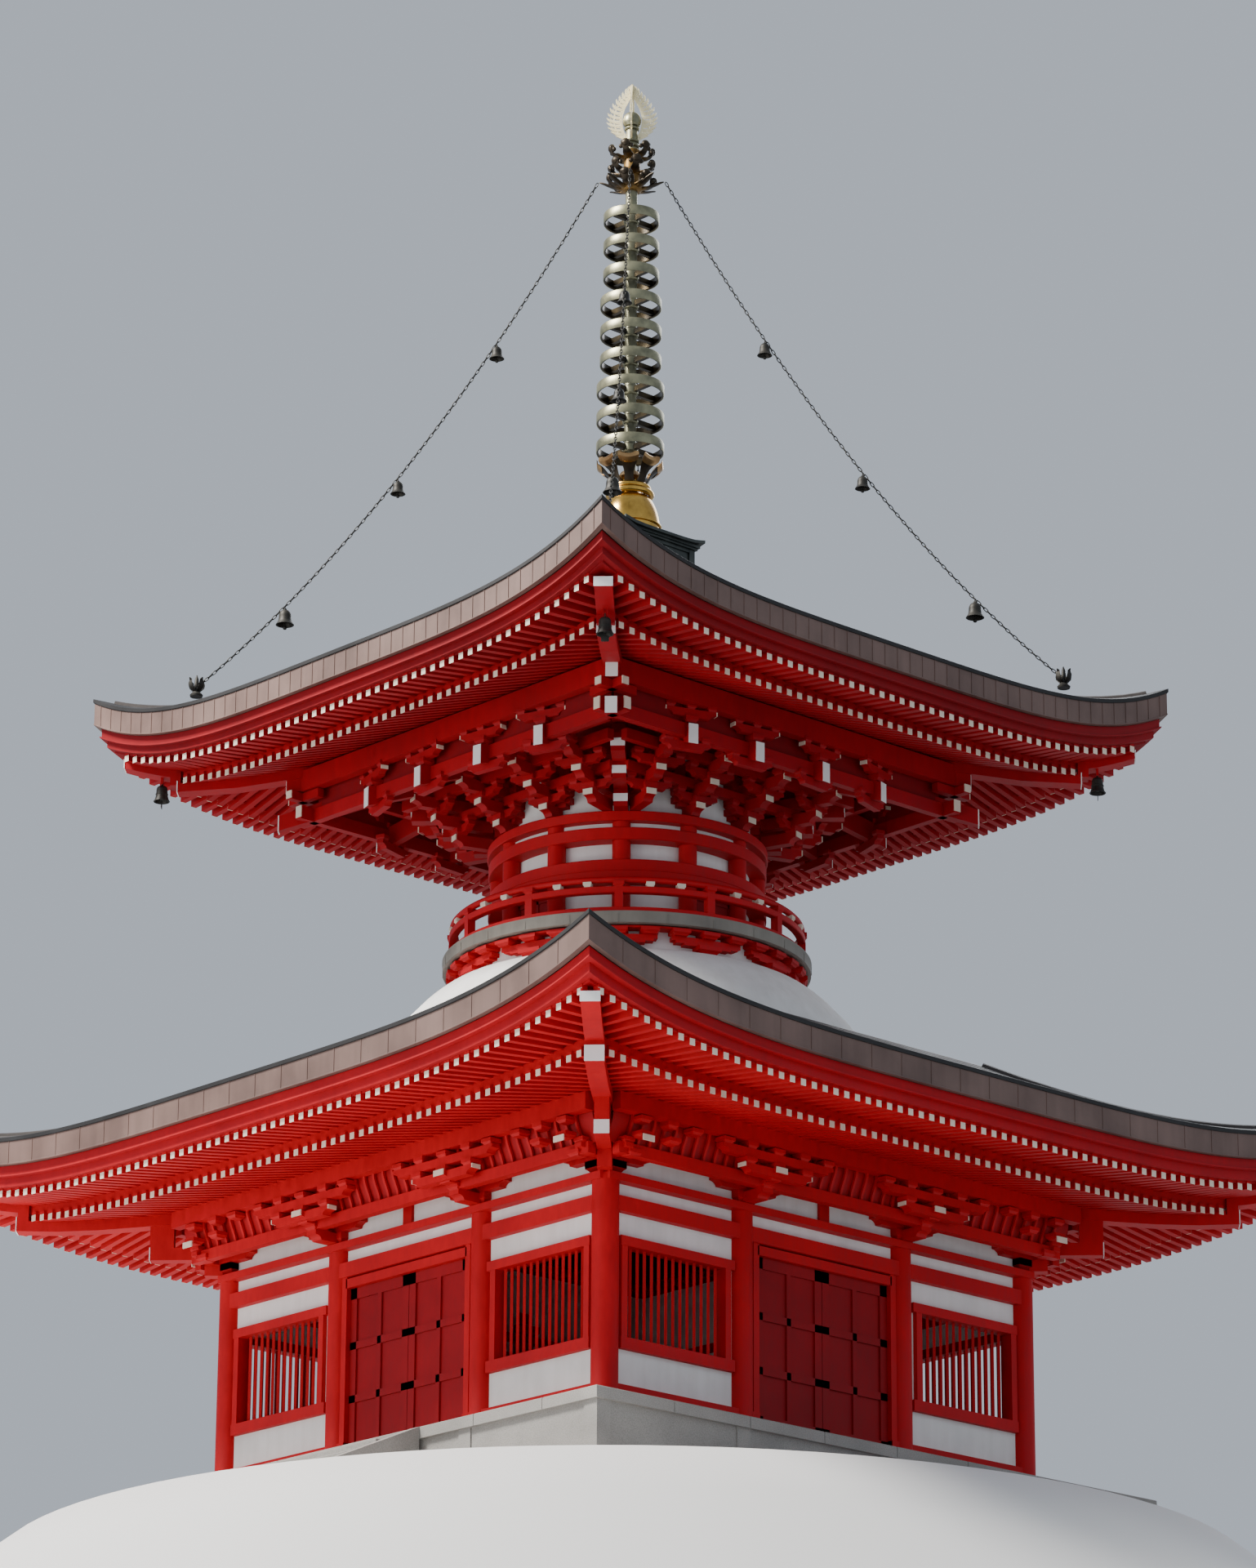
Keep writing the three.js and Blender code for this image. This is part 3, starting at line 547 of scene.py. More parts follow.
def makeMound(s):
    # z = -drop ((1 + curve) t - curve t^2), t from the flat top's rim to the foot, then level to the far edge
    t = np.linspace(0, 1, 40)
    fall = -s["drop"] * ((1 + s["curve"]) * t - s["curve"] * t * t)
    slope = np.stack([s["flat"] + (s["foot"] - s["flat"]) * t, fall], -1)
    level = [[0, -s["drop"] - s["thick"]], [s["far"], -s["drop"] - s["thick"]], [s["far"], -s["drop"]]]
    parts = shiftParts([turned(np.vstack([level, slope[::-1], [[0, 0]]]), 96)], [0, 0, -s["below"]])
    f = newFinish("pale_ground")
    f.shader.inputs["Base Color"].default_value = s["colour"]
    f.shader.inputs["Roughness"].default_value = s["roughness"]
    ground = addObject("pale_ground", meshOf("pale_ground", parts, f.material, 50))


placeCamera(cameraSet)
placeLights(lightSet, lightAim, skySet)
makeMound(moundSet)
print("camera, lights and ground ready")


# Eaves and roofs: w is the distance out from the axis and u the distance across, both in a side's own axes

lowerEave = {
    "name": "lower", "half": 5.5, "top": 4.42, "lift": 0.55, "start": 3.06, "inner": 2.9,
    "flyDrop": 0.605, "baseInset": 0.85, "baseDrop": 0.174, "slope": 0.2,
    "run": 2.77, "rise": (0.822, 0.358), "skinInner": 2.73, "peak": [(1.93, 5.605), (1.93, 5.21)],
    "under": [(1.93, 4.95), (3.3, 4.95), (4.0, 4.64), (4.8, 4.36), (5.25, 4.13), (5.36, 4.14), (5.37, 4.34)],
    # red paints the rafters and dull the boards under them; here red is lightened as painted light and dull
    # is the plain red, darker as painted shade
    "seamPitch": 0.42, "seamProud": 0.005, "red": litRedPaint, "dull": redPaint,
}
upperEave = {
    "name": "upper", "half": 4.25, "top": 9.40, "lift": 0.545, "start": 2.1, "inner": 1.25,
    "flyDrop": 0.58, "baseInset": 0.66, "baseDrop": 0.142, "slope": 0.32,
    "run": 3.69, "rise": (1.1904, 0.7296), "skinInner": 0.60, "peak": [(0.56, 11.318), (0.3, 11.318)],
    "under": [(0.3, 10.6), (1.2, 10.55), (2.4, 9.92), (3.4, 9.42), (4.0, 9.12), (4.10, 9.13), (4.12, 9.32)],
    # here dull is the red darkened as painted shade for the boards under the rafters
    "seamPitch": 0.187, "seamProud": 0.006, "red": redPaint, "dull": shadedRedPaint,
}
liftPower = 4.2  # how late along a side its edge begins to rise
rafterSet = {"pitch": 0.15, "half": 0.036, "height": 0.10, "flyEnd": 0.18, "flySlope": 0.14, "hipGap": 0.075,
             "shortest": 0.06, "overlap": 0.25, "bearerOut": (-0.13, -0.035), "bearerUp": (-0.015, 0.02),
             "boardThick": 0.03, "overInner": 0.12, "overOuter": 0.19, "liningOuter": 0.06,
             "capHalf": 0.034, "capOut": (-0.004, 0.003), "capUp": (-0.001, 0.066),
             # two boards step back under the fascia with a thin nosing between them, from the roof's edge
             "boardUnder": -0.006, "boards": [(-0.125, -0.413), (-0.062, -0.413), (-0.062, -0.397),
                                              (-0.078, -0.393), (-0.078, -0.298), (-0.20, -0.298)]}


def flyLow(eave, w):
    # underside of the flying rafters, rising inwards from their ends
    return eave["top"] - eave["flyDrop"] + rafterSet["flySlope"] * (eave["half"] - rafterSet["flyEnd"] - w)


def baseLow(eave, w):
    # underside of the base rafters, a step below the flying ones and steeper
    start = eave["half"] - eave["baseInset"]
    return flyLow(eave, start) - eave["baseDrop"] + eave["slope"] * (start - w)


def roofTop(eave, w):
    # edge height + a t + b t^2, t from 0 at the edge to 1 at the end of the run
    t = (eave["half"] - w) / eave["run"]
    return eave["top"] + eave["rise"][0] * t + eave["rise"][1] * t * t


def liftAt(eave, w, u):
    # lift x share of the way out x (across / half side) to the lift's power
    out = np.maximum(0, (w - eave["start"]) / (eave["half"] - eave["start"]))
    return eave["lift"] * out * (np.abs(u) / eave["half"]) ** liftPower


def cornerHeight(eave, heightAt, r):
    # height over the corner line: w = u = r / root 2, z = height(w) + lift(w, w)
    w = r / math.sqrt(2)
    return heightAt(eave, w) + liftAt(eave, w, w)


def squareSweep(profile, eave, stations=36, crowding=1.35):
    # profile (w, z) carried round four mitred sides: u = s w, z + lift(w, u), s crowded towards the corners
    w, z = np.asarray(profile, float).T
    s = np.linspace(-1, 1, 2 * stations + 1)[:-1]
    s = np.sign(s) * (1 - (1 - np.abs(s)) ** crowding)
    u = s[:, None] * w
    side = np.stack([w + 0 * u, u, z + liftAt(eave, w, u)], -1)
    points = np.concatenate([turnAbout(side, degrees) for degrees in allTurns])
    return points.reshape(-1, 3), gridFaces(len(points), len(w), True, True)


def edgeBoxes(eave, spots, half, out0, out1, low, high):
    # upright boxes along the edge at each across-place, lifted with it
    u = np.asarray(spots, float)
    same, rise = np.ones(len(u)), liftAt(eave, out1, u)
    return boxParts(np.stack([out0 * same, out1 * same, u - half, u + half, low + rise, high + rise], -1))


def laths(eave, spots, s, inner, end, lowAt, samples):
    # rafters of rectangular section: z = low(w) + lift(w, u), each starting clear of the hip
    u = np.asarray(spots, float)
    start = np.maximum(np.abs(u) + s["hipGap"], inner)
    keep = end - start > s["shortest"]
    u, start = u[keep, None], start[keep, None]
    w = start + (end - start) * np.linspace(0, 1, samples)
    low = lowAt(eave, w) + liftAt(eave, w, u)
    section = rectangle(-s["half"], s["half"], 0, s["height"])
    ring = [np.stack([w, u + a + 0 * w, low + b], -1) for a, b in section]
    return [(np.stack(ring, 2).reshape(-1, 3), repeatFaces(tubeFaces(samples, 4, True), 4 * samples, len(u)))]


roofSet = {
    "rows": 30, "step": 0.006, "lap": 0.004, "edge": 0.12, "firstRow": 0.16, "edgeThick": 0.03,
    "rollOut": 0.25, "rollIn": 0.02, "rollStations": 40,
    "roll": [(-0.07, -0.04), (0.07, -0.04), (0.062, 0.012), (0.035, 0.03), (-0.035, 0.03), (-0.062, 0.012)],
    # the lip's outline from the roof's edge, its back tucked under the sheets
    "lipBack": 0.20, "lipOver": 0.008,
    "lip": [(-0.05, -0.045), (-0.003, -0.045), (0, -0.041), (0, -0.004), (-0.005, 0.001)],
    # the fascia's outline from the foot of its face
    "fasciaInset": 0.014, "fasciaHeight": 0.30,
    "fascia": [(-0.05, 0), (0.004, 0), (0.004, 0.012), (0, 0.016), (0, 0.254), (-0.05, 0.254)],
    "seamHalf": 0.0035, "seamEnd": 0.1, "seamBack": 0.01, "seamSpan": (0.006, 0.255),
}


def makeRoof(eave, s):
    # overlapping sheet rows: each row's outer edge stands one small step over the next
    name, half, top, inner = eave["name"], eave["half"], eave["top"], eave["skinInner"]
    edge = half - s["edge"]
    w = np.linspace(half - s["firstRow"], inner, s["rows"])
    rows = [(edge, roofTop(eave, edge) - s["edgeThick"]), (edge, roofTop(eave, edge))]
    for a, b in zip(w[:-1], w[1:] + s["lap"]):
        rows += [(a, roofTop(eave, a) + s["step"]), (b, roofTop(eave, b))]
    skin = [squareSweep(eave["under"] + rows + [(inner, roofTop(eave, inner))] + eave["peak"], eave)]
    r = np.linspace(half * math.sqrt(2) - s["rollOut"], inner * math.sqrt(2) + s["rollIn"], s["rollStations"])
    path = np.stack([r, 0 * r, cornerHeight(eave, roofTop, r)], -1)
    skin += turnParts([sweepPath(path, s["roll"])], allCorners)
    buildPiece(name + "_roof_skin", skin, roofCopper, [name + "_roof"])

    back = half - s["lipBack"]
    lip = [(back, roofTop(eave, back) + s["lipOver"]), (back, roofTop(eave, back) - s["edgeThick"])]
    lip += [(half + a, top + b) for a, b in s["lip"]]
    buildPiece(name + "_roof_lip", [squareSweep(lip, eave)], edgeCopper)

    face, low = half - s["fasciaInset"], top - s["fasciaHeight"]
    count = int((half - s["seamEnd"]) / eave["seamPitch"])
    seams = edgeBoxes(eave, np.arange(-count, count + 1) * eave["seamPitch"], s["seamHalf"],
                      face - s["seamBack"], face + eave["seamProud"], *np.add(s["seamSpan"], low))
    fascia = squareSweep(np.add(s["fascia"], [face, low]), eave)
    buildPiece(name + "_roof_fascia", [fascia] + turnParts(seams, allTurns), fasciaCopper)


makeRoof(lowerEave, roofSet)
makeRoof(upperEave, roofSet)
print("roofs ready")


def boardOver(eave, w, lowAt, s):
    # outline of a board on the rafters' backs: low(w) + rafter height, less the board's thickness
    top = lowAt(eave, w) + s["height"]
    return np.stack([np.append(w, w[::-1]), np.append(top - s["boardThick"], top[::-1])], -1)


def makeEave(eave, s):
    # two rows of rafters at one pitch, a bearer and boards between them, and a pale cap on each end
    name, half, top = eave["name"], eave["half"], eave["top"]
    flyEnd, baseEnd = half - s["flyEnd"], half - eave["baseInset"]
    count = int(half / s["pitch"])
    spots = (np.arange(-count, count) + 0.5) * s["pitch"]
    rafters = laths(eave, spots, s, baseEnd - s["overlap"], flyEnd, flyLow, 5)
    rafters += laths(eave, spots, s, eave["inner"], baseEnd, baseLow, 8)
    bearerUp = np.add(s["bearerUp"], [baseLow(eave, baseEnd) + s["height"], flyLow(eave, baseEnd)])
    bearer = rectangle(*np.add(s["bearerOut"], baseEnd), *bearerUp)
    buildPiece(name + "_rafters_fine", turnParts(rafters, allTurns) + [squareSweep(bearer, eave)],
               eave["red"], [name + "_rafters"])
    boardLow = flyLow(eave, flyEnd) + s["height"] + s["boardUnder"]
    boards = [(half + a, top + b) for a, b in s["boards"]]
    boards = [(boards[-1][0], boardLow), (boards[0][0], boardLow)] + boards
    # the eave boards here and the soffit boards below take the eave's dull red, darker as painted shade
    buildPiece(name + "_eave_boards", [squareSweep(boards, eave)], eave["dull"])
    over = boardOver(eave, np.array([baseEnd - s["overInner"], half - s["overOuter"]]), flyLow, s)
    lining = boardOver(eave, np.linspace(eave["inner"], baseEnd - s["liningOuter"], 10), baseLow, s)
    buildPiece(name + "_soffit_boards", [squareSweep(over, eave), squareSweep(lining, eave)],
               eave["dull"])
    caps = []
    for end, lowAt in ((flyEnd, flyLow), (baseEnd, baseLow)):
        shown = spots[np.abs(spots) < end - s["hipGap"] - s["shortest"]]
        caps += edgeBoxes(eave, shown, s["capHalf"], *np.add(s["capOut"], end),
                          *np.add(s["capUp"], lowAt(eave, end)))
    # the caps take the white toned beige as painted shade
    buildPiece(name + "_rafter_caps", turnParts(caps, allTurns), shadedEndPaint)


makeEave(lowerEave, rafterSet)
makeEave(upperEave, rafterSet)
print("eaves ready")


# Bracket sets: arms that step out, arms along the wall, bearing blocks and pale end plates

# a block's half width and height at each level, as shares of its size and height
blockLine = [(0.36, 0.0), (0.378, 0.14), (0.4212, 0.28), (0.5, 0.42), (0.5, 1.0)]
armSet = {"bite": 0.5, "curve": 0.75, "wallBite": 0.55, "wallCurve": 0.9, "blockHeight": 0.065, "seat": 0.005,
          "plateIn": 0.008, "plateOut": 0.005, "plateHalf": 0.006, "plateEdge": 0.002}


def bearingBlock(size, height, place):
    # square block, its lower two fifths drawn in with a hollow curve: ring x half width at each level
    ring = np.array(rectangle(-1, 1, -1, 1))
    levels = [np.column_stack([ring * half * size, np.full(4, up * height)]) for half, up in blockLine]
    return np.concatenate(levels) + place, tubeFaces(len(levels), 4, True)


def arcBlock(r0, r1, z0, z1, a0, a1, steps=12):
    # block between two radii and two angles in degrees: x = r cos a, y = r sin a
    angles = np.linspace(a0, a1, steps)
    ring = [onCircle(r, angles) + [0, 0, z] for r, z in rectangle(r0, r1, z0, z1)]
    return np.stack(ring, 1).reshape(-1, 3), tubeFaces(steps, 4)


def cutCurve(end, low, depth, bite, length):
    # quarter curve under an arm's end: length x cos a inwards and bite x sin a upwards, in arm depths
    a = np.linspace(0, math.pi / 2, 6)
    return list(zip(end - depth * length * np.cos(a), low + depth * bite * np.sin(a)))


def outArm(inner, end, low, high, half):
    # arm that steps out, with a square top corner and its underside cut up, and its pale end plate
    s, depth = armSet, high - low
    curve = cutCurve(end, low, depth, s["bite"], s["curve"])
    plate = middleBox(end - s["plateIn"], end + s["plateOut"], half + s["plateEdge"],
                      low + depth * s["bite"], high + s["plateEdge"])
    return prism([(inner, low)] + curve + [(end, high), (inner, high)], -half, half), boxParts([plate])


def wallArm(w, reach, low, high, half, block):
    # arm along the wall with both ends cut up, blocks on its middle and ends, and its pale end plates
    s, depth = armSet, high - low
    curve = cutCurve(reach, low, depth, s["wallBite"], s["wallCurve"])
    outline = curve + [(reach, high), (-reach, high)] + [(-a, b) for a, b in curve[::-1]]
    blocks = [bearingBlock(block, s["blockHeight"], (w, side * (reach - block / 2), high - s["seat"]))
              for side in (-1, 0, 1)]
    plates = bothSides([(w - half - s["plateEdge"], w + half + s["plateEdge"], reach - s["plateHalf"],
                         reach + s["plateHalf"], low + depth * s["wallBite"], high + s["plateEdge"])])
    return [prism(outline, w - half, w + half, "out")] + blocks, boxParts(plates)


upperSet = {
    # one row for each set of a side: place across, how far it fans out, and where its arms start
    "rows": [(-1.03, -17.8, 1.15), (-0.36, -6.0, 1.33), (0.36, 6.0, 1.33), (1.03, 17.8, 1.15)],
    "root": 1.37, "armHalf": 0.055,
    "steps": [(1.60, 8.055, 8.18), (1.85, 8.255, 8.38), (2.10, 8.445, 8.57)],  # end, low, high
    "stepBlock": (0.15, 0.08), "stepBlockIn": 0.08,
    "tail": [(1.95, 8.598), (2.65, 8.36), (2.65, 8.58), (1.95, 8.818)], "tailHalf": 0.052,
    "tailEnd": [(2.645, 8.363), (2.654, 8.36), (2.654, 8.58), (2.645, 8.583)], "tailEndHalf": 0.054,
    "tailBlock": (0.15, 0.07, (2.55, 0, 8.61)),
    # arms along the wall: out, reach, low
    "cross": [(1.50, 0.27, 8.20), (1.76, 0.30, 8.40), (2.47, 0.27, 8.335), (2.56, 0.30, 8.672)],
    "crossHeight": 0.09, "crossHalf": 0.04, "crossBlock": 0.11,
    # ties: out from, out to, reach, low, high
    "ties": [(1.46, 1.54, 1.40, 8.345, 8.45), (1.755, 1.845, 1.70, 8.545, 8.66),
             (2.01, 2.095, 1.93, 8.64, 8.775), (2.42, 2.51, 2.69, 8.45, 8.60),
             (2.505, 2.625, 2.56, 8.80, 9.04)],
    "cornerTies": [(2.515, 2.60, 2.25, 2.76, 8.69, 8.785)],
    "cornerPlates": [(2.513, 2.602, 2.754, 2.766, 8.70, 8.787), (2.418, 2.512, 2.684, 2.696, 8.47, 8.602)],
    "hipTail": [(2.85, 8.66), (3.88, 8.345), (3.88, 8.52), (2.85, 8.87)], "hipTailHalf": 0.062,
    "hipTailEnd": [(3.875, 8.342), (3.887, 8.338), (3.887, 8.522), (3.875, 8.526)], "hipTailEndHalf": 0.064,
    "coves": [(2.43, 2.45, -2.42, 2.42, 8.58, 9.14), (1.38, 2.44, -2.44, 1.38, 8.80, 8.83)],
}
wallArmSet = {"inner": 1.36, "outer": 1.475, "footOuter": 1.471, "lows": [8.165, 8.365, 8.565],
              "spans": [15.0, 22.0, 45.0], "armLow": 0.045, "armHigh": 0.115,
              "footHigh": 0.05, "footShare": 0.72, "pitch": 30, "overlap": 0.01,
              "block": (0.13, 0.09), "blockOut": 1.43, "blockUp": 0.112,
              "blockPitch": 10, "band": (8.765, 8.90)}


def wallArms(s):
    # arms that follow the round wall in three layers, with blocks between the layers
    parts, count = [], 360 // s["pitch"]
    for low, span in zip(s["lows"], s["spans"]):
        half = min(span, s["pitch"]) / 2 + s["overlap"]
        foot = half * s["footShare"]
        arms = [arcBlock(s["inner"], s["outer"], low + s["armLow"], low + s["armHigh"], -half, half, 8),
                arcBlock(s["inner"], s["footOuter"], low, low + s["footHigh"], -foot, foot, 8)]
        parts += turnParts(arms, s["pitch"] * (np.arange(count) + 0.5))
        block = bearingBlock(*s["block"], (s["blockOut"], 0, low + s["blockUp"]))
        # the top layer is one closed ring with a block at every place, the others miss every third
        shown = [k for k in range(3 * count) if span > s["pitch"] or k % 3]
        parts += turnParts([block], [s["blockPitch"] * k for k in shown])
    return parts + [hoop(s["inner"], s["outer"], *s["band"])]


def makeUpperBrackets(s):
    # sets of stepped arms with a tail, fanned out from the round wall, and the ties that join them
    row, ends = [], []
    for w, reach, low in s["cross"]:
        arms, plates = wallArm(w, reach, low, low + s["crossHeight"], s["crossHalf"], s["crossBlock"])
        row += arms
    ends += plates  # only the outermost arm along the wall shows its end plates
    row += [prism(s["tail"], -s["tailHalf"], s["tailHalf"]), bearingBlock(*s["tailBlock"])]
    tailEnd = prism(s["tailEnd"], -s["tailEndHalf"], s["tailEndHalf"])
    red, pale, white = [], [], []
    for across, fan, start in s["rows"]:
        steps, caps = [], []
        for end, low, high in s["steps"]:
            arm, cap = outArm(start, end, low, high, s["armHalf"])
            block = bearingBlock(*s["stepBlock"], (end - s["stepBlockIn"], 0, high - armSet["seat"]))
            steps += [arm, block]
            caps += cap
        for made, parts in ((red, row + steps), (pale, ends + caps), (white, [tailEnd])):
            fanned = turnParts(shiftParts(parts, [-s["root"], 0, 0]), [fan])
            made += shiftParts(fanned, [s["root"], across, 0])
    red += boxParts([middleBox(*tie) for tie in s["ties"]]) + boxParts(bothSides(s["cornerTies"]))
    pale += boxParts(bothSides(s["cornerPlates"]))
    red += turnParts([prism(s["hipTail"], -s["hipTailHalf"], s["hipTailHalf"])], [45])
    white += turnParts([prism(s["hipTailEnd"], -s["hipTailEndHalf"], s["hipTailEndHalf"])], [45])
    # the cove boards take the red darkened as painted shade
    buildPiece("upper_cove_boards", turnParts(boxParts(s["coves"]), allTurns), shadedRedPaint)
    buildPiece("upper_bracket_sets", turnParts(red, allTurns) + wallArms(wallArmSet), redPaint,
               ["upper_brackets_" + side for side in sideTurns])
    # the end plates take the white toned beige as painted shade
    buildPiece("upper_bracket_caps", turnParts(pale, allTurns), shadedEndPaint)
    buildPiece("upper_tail_caps", turnParts(white, allTurns), whitePaint)


lowerSet = {
    "rows": [-3.0, -1.15, 1.15, 3.0], "armHalf": 0.075, "hipGap": 0.10, "wallPlane": 3.2,
    "first": (2.95, 3.43, 3.285, 3.39), "second": (2.95, 3.64, 3.44, 3.56),  # inner end, end, low, high
    # arms along the wall: out, reach, low, high, half width, block
    "cross": [(3.54, 0.47, 3.455, 3.55, 0.055, 0.15), (3.54, 0.78, 3.615, 3.705, 0.055, 0.15),
              (3.10, 0.47, 3.40, 3.50, 0.05, 0.14)],
    "blocks": [(0.30, 0.13, (3.0, 0, 3.275)), (0.17, 0.07, (3.37, 0, 3.385)),
               (0.14, 0.08, (3.54, -0.37, 3.70)), (0.14, 0.08, (3.54, 0.37, 3.70))],
    "strut": (2.98, 3.08, 0.07, 3.28, 3.56), "strutBlock": (0.2, 0.10, (3.03, 0, 3.555)),
    "ties": [(3.06, 3.16, 3.0, 3.66, 3.80), (3.32, 3.42, 3.2, 3.39, 3.51), (3.06, 3.13, 3.0, 3.93, 4.03)],
    "purlin": (3.48, 3.60, 3.35, 3.78), "purlinUnder": 0.004,
    "ribStart": (3.375, 3.50), "ribRise": (0.095, 0.29),
    "rib": rectangle(-0.016, 0.016, -0.028, 0.0), "ribPitch": 0.15, "ribReach": 3.2,
    "cove": (0.012, 0.030, 3.3), "coveTop": (3.05, 3.36, 3.15, 3.53, 3.55),
}


def makeLowerBrackets(s):
    # sets over the pillars with a strut between them, ties along the side, ribs and the cove behind them
    second, cap = outArm(*s["second"], s["armHalf"])
    crossed = [wallArm(*arm) for arm in s["cross"]]
    row = [outArm(*s["first"], s["armHalf"])[0], second] + [part for pair in crossed for part in pair[0]]
    row += [bearingBlock(*block) for block in s["blocks"]]
    ends = cap + crossed[0][1]  # only the lowest arm along the wall shows its end plates

    def kept(parts):
        # of the sets, the parts that end before the hip timber or lie within the wall's own plane
        placed = [part for across in s["rows"] for part in shiftParts(parts, [0, across, 0])]
        return [(p, f) for p, f in placed
                if np.abs(p[:, 1]).max() < p[:, 0].min() - s["hipGap"] or p[:, 0].max() < s["wallPlane"]]

    red = kept(row) + boxParts([middleBox(*s["strut"])]) + [bearingBlock(*s["strutBlock"])]
    w0, w1, reach, low = s["purlin"]
    purlinTop = baseLow(lowerEave, (w0 + w1) / 2) + s["purlinUnder"]
    red += boxParts([middleBox(*tie) for tie in s["ties"] + [(w0, w1, reach, low, purlinTop)]])
    # ribs run from the first tie up to the purlin in an ogee: out = cubic ease of height
    t = np.linspace(0, 1, 9)
    out = s["ribStart"][0] + s["ribRise"][0] * (3 * t * t - 2 * t ** 3)
    up = s["ribStart"][1] + s["ribRise"][1] * t
    count = int(s["ribReach"] / s["ribPitch"])
    places = (np.arange(-count, count) + 0.5) * s["ribPitch"]
    rib = sweepPath(np.stack([out, 0 * t, up], -1), s["rib"])
    red.append(stamp(rib, np.stack([0 * places, places, 0 * places], -1)))
    buildPiece("lower_bracket_sets", turnParts(red, allTurns), litRedPaint,
               ["lower_brackets_" + side for side in sideTurns])
    front, back, reach = s["cove"]
    sheet = np.stack([np.append(out - front, (out - back)[::-1]), np.append(up, up[::-1])], -1)
    cove = [prism(sheet, -reach, reach)] + boxParts([middleBox(*s["coveTop"])])
    buildPiece("lower_cove_boards", turnParts(cove, allTurns), redPaint)
    buildPiece("lower_bracket_caps", turnParts(kept(ends), allTurns), shadedEndPaint)


makeUpperBrackets(upperSet)
makeLowerBrackets(lowerSet)

# stepped ends: radius, low, high, half width, depth of the plate; base and fly: radius of each rafter's end
hipSet = {
    "drop": 0.13, "flyDrop": 0.10, "half": 0.099,
    "plateIn": 0.004, "plateOut": 0.006, "edge": 0.002, "side": 0.003,
    "upper": {"ends": [(1.70, 8.05, 8.19, 0.075, 0.085), (2.05, 8.25, 8.39, 0.075, 0.085),
                       (2.40, 8.44, 8.58, 0.075, 0.085), (3.80, 8.775, 8.96, 0.062, 0.2)],
              "base": 5.02, "baseUp": 0.0, "fly": 5.62},
    "lower": {"ends": [(5.151, 3.455, 3.595, 0.075, 0.2)], "base": 6.616, "baseUp": 0.028, "fly": 7.45},
}


def makeHipCaps(eave, s):
    # pale plates over the ends of the corner timbers, which the solid hips carry
    own = s[eave["name"]]
    plates = [(r, half + s["side"], high - min(high - low, depth), high + s["edge"])
              for r, low, high, half, depth in own["ends"]]
    for r, lowAt, drop, up in ((own["base"], baseLow, s["drop"], own["baseUp"]),
                               (own["fly"], flyLow, s["flyDrop"], 0.0)):
        z = cornerHeight(eave, lowAt, r)
        plates.append((r, s["half"], z - drop - s["edge"], z + up))
    boxes = boxParts([middleBox(r - s["plateIn"], r + s["plateOut"], *rest) for r, *rest in plates])
    buildPiece(eave["name"] + "_hip_caps", turnParts(boxes, allCorners), whitePaint)


makeHipCaps(lowerEave, hipSet)
makeHipCaps(upperEave, hipSet)
print("bracket sets ready")


# Dome, balcony and drum

domeSet = {"outer": [(2.715, 5.21), (2.71, 5.40), (2.67, 5.60), (2.56, 5.83), (2.39, 6.03), (2.20, 6.22),
                     (1.985, 6.36), (1.72, 6.38)],
           "inner": [(1.72, 6.26), (2.02, 6.13), (2.23, 5.94), (2.40, 5.70), (2.47, 5.48), (2.47, 5.21)]}


def makeDome(s):
    # plaster shell: a soft curve outside and a plain one inside, carried round the axis
    shell = turned(np.vstack([softCurve(s["outer"]), s["inner"]]), 128, closed=True)
    buildPiece("dome_shell", [shell], whitePlaster, ["plaster_dome"])


ringSet = {"sets": 12, "reach": 10.0, "hoops": [(1.74, 1.86, 6.38, 6.40), (1.72, 1.95, 6.606, 6.63)],
           # layers of a boat-shaped arm: outer radius, low, high, half angle, steps
           "arm": [(1.90, 6.50, 6.545, 12.6, 12), (1.899, 6.475, 6.502, 11.4, 10),
                   (1.898, 6.455, 6.477, 8.6, 8)], "armInner": 1.76,
           "stub": (0.27, 0.075, (1.82, 0, 6.385)), "block": (0.20, 0.068, (1.885, 0, 6.542)),
           "plaster": (1.70, 1.79, 6.382, 6.615)}


def makeBalconyRing(s):
    # twelve boat-shaped arms on stub blocks, each with three bearing blocks under the deck
    arm = [arcBlock(s["armInner"], outer, low, high, -half, half, steps)
           for outer, low, high, half, steps in s["arm"]]
    arm += [bearingBlock(*s["stub"])] + turnParts([bearingBlock(*s["block"])], [-s["reach"], 0, s["reach"]])
    red = [hoop(*edges, 128, 0.004) for edges in s["hoops"]]
    red += turnParts(arm, 360 / s["sets"] * (np.arange(s["sets"]) + 0.5))
    buildPiece("balcony_ring_timber", red, litRedPaint, ["balcony_brackets"])
    buildPiece("balcony_ring_plaster", [hoop(*s["plaster"], 128)], whitePlaster)


deckSet = {"line": [(1.40, 6.65), (1.955, 6.65), (1.955, 6.635), (2.0, 6.632), (2.024, 6.64), (2.026, 6.735),
                    (2.03, 6.742), (2.03, 6.765), (2.015, 6.77), (1.40, 6.77)],
           "seam": (2.018, 2.0295, 0.006, 6.642, 6.738), "seams": 24}


def makeDeck(s):
    # clad deck edge carried round the axis, with a standing seam at every joint of its sheets
    seams = turnParts(boxParts([middleBox(*s["seam"])]), 360 / s["seams"] * np.arange(s["seams"]))
    buildPiece("balcony_deck_clad", [turned(s["line"], 160, closed=True)] + seams, deckCopper,
               ["balcony_deck"])


# rails: how far each reaches to both sides of the railing's radius, low, high
railSet = {"radius": 1.92, "rails": [(0.05, 6.771, 6.828), (0.042, 6.99, 7.062)],
           "hand": 7.142, "handHalf": 0.037, "posts": 12, "postHalf": 0.045, "postSpan": (6.80, 7.01),
           "saddle": (0.12, 0.065, (0, 0, 7.055)), "spacer": (0.09, 0.056, (0, 0, 7.06))}


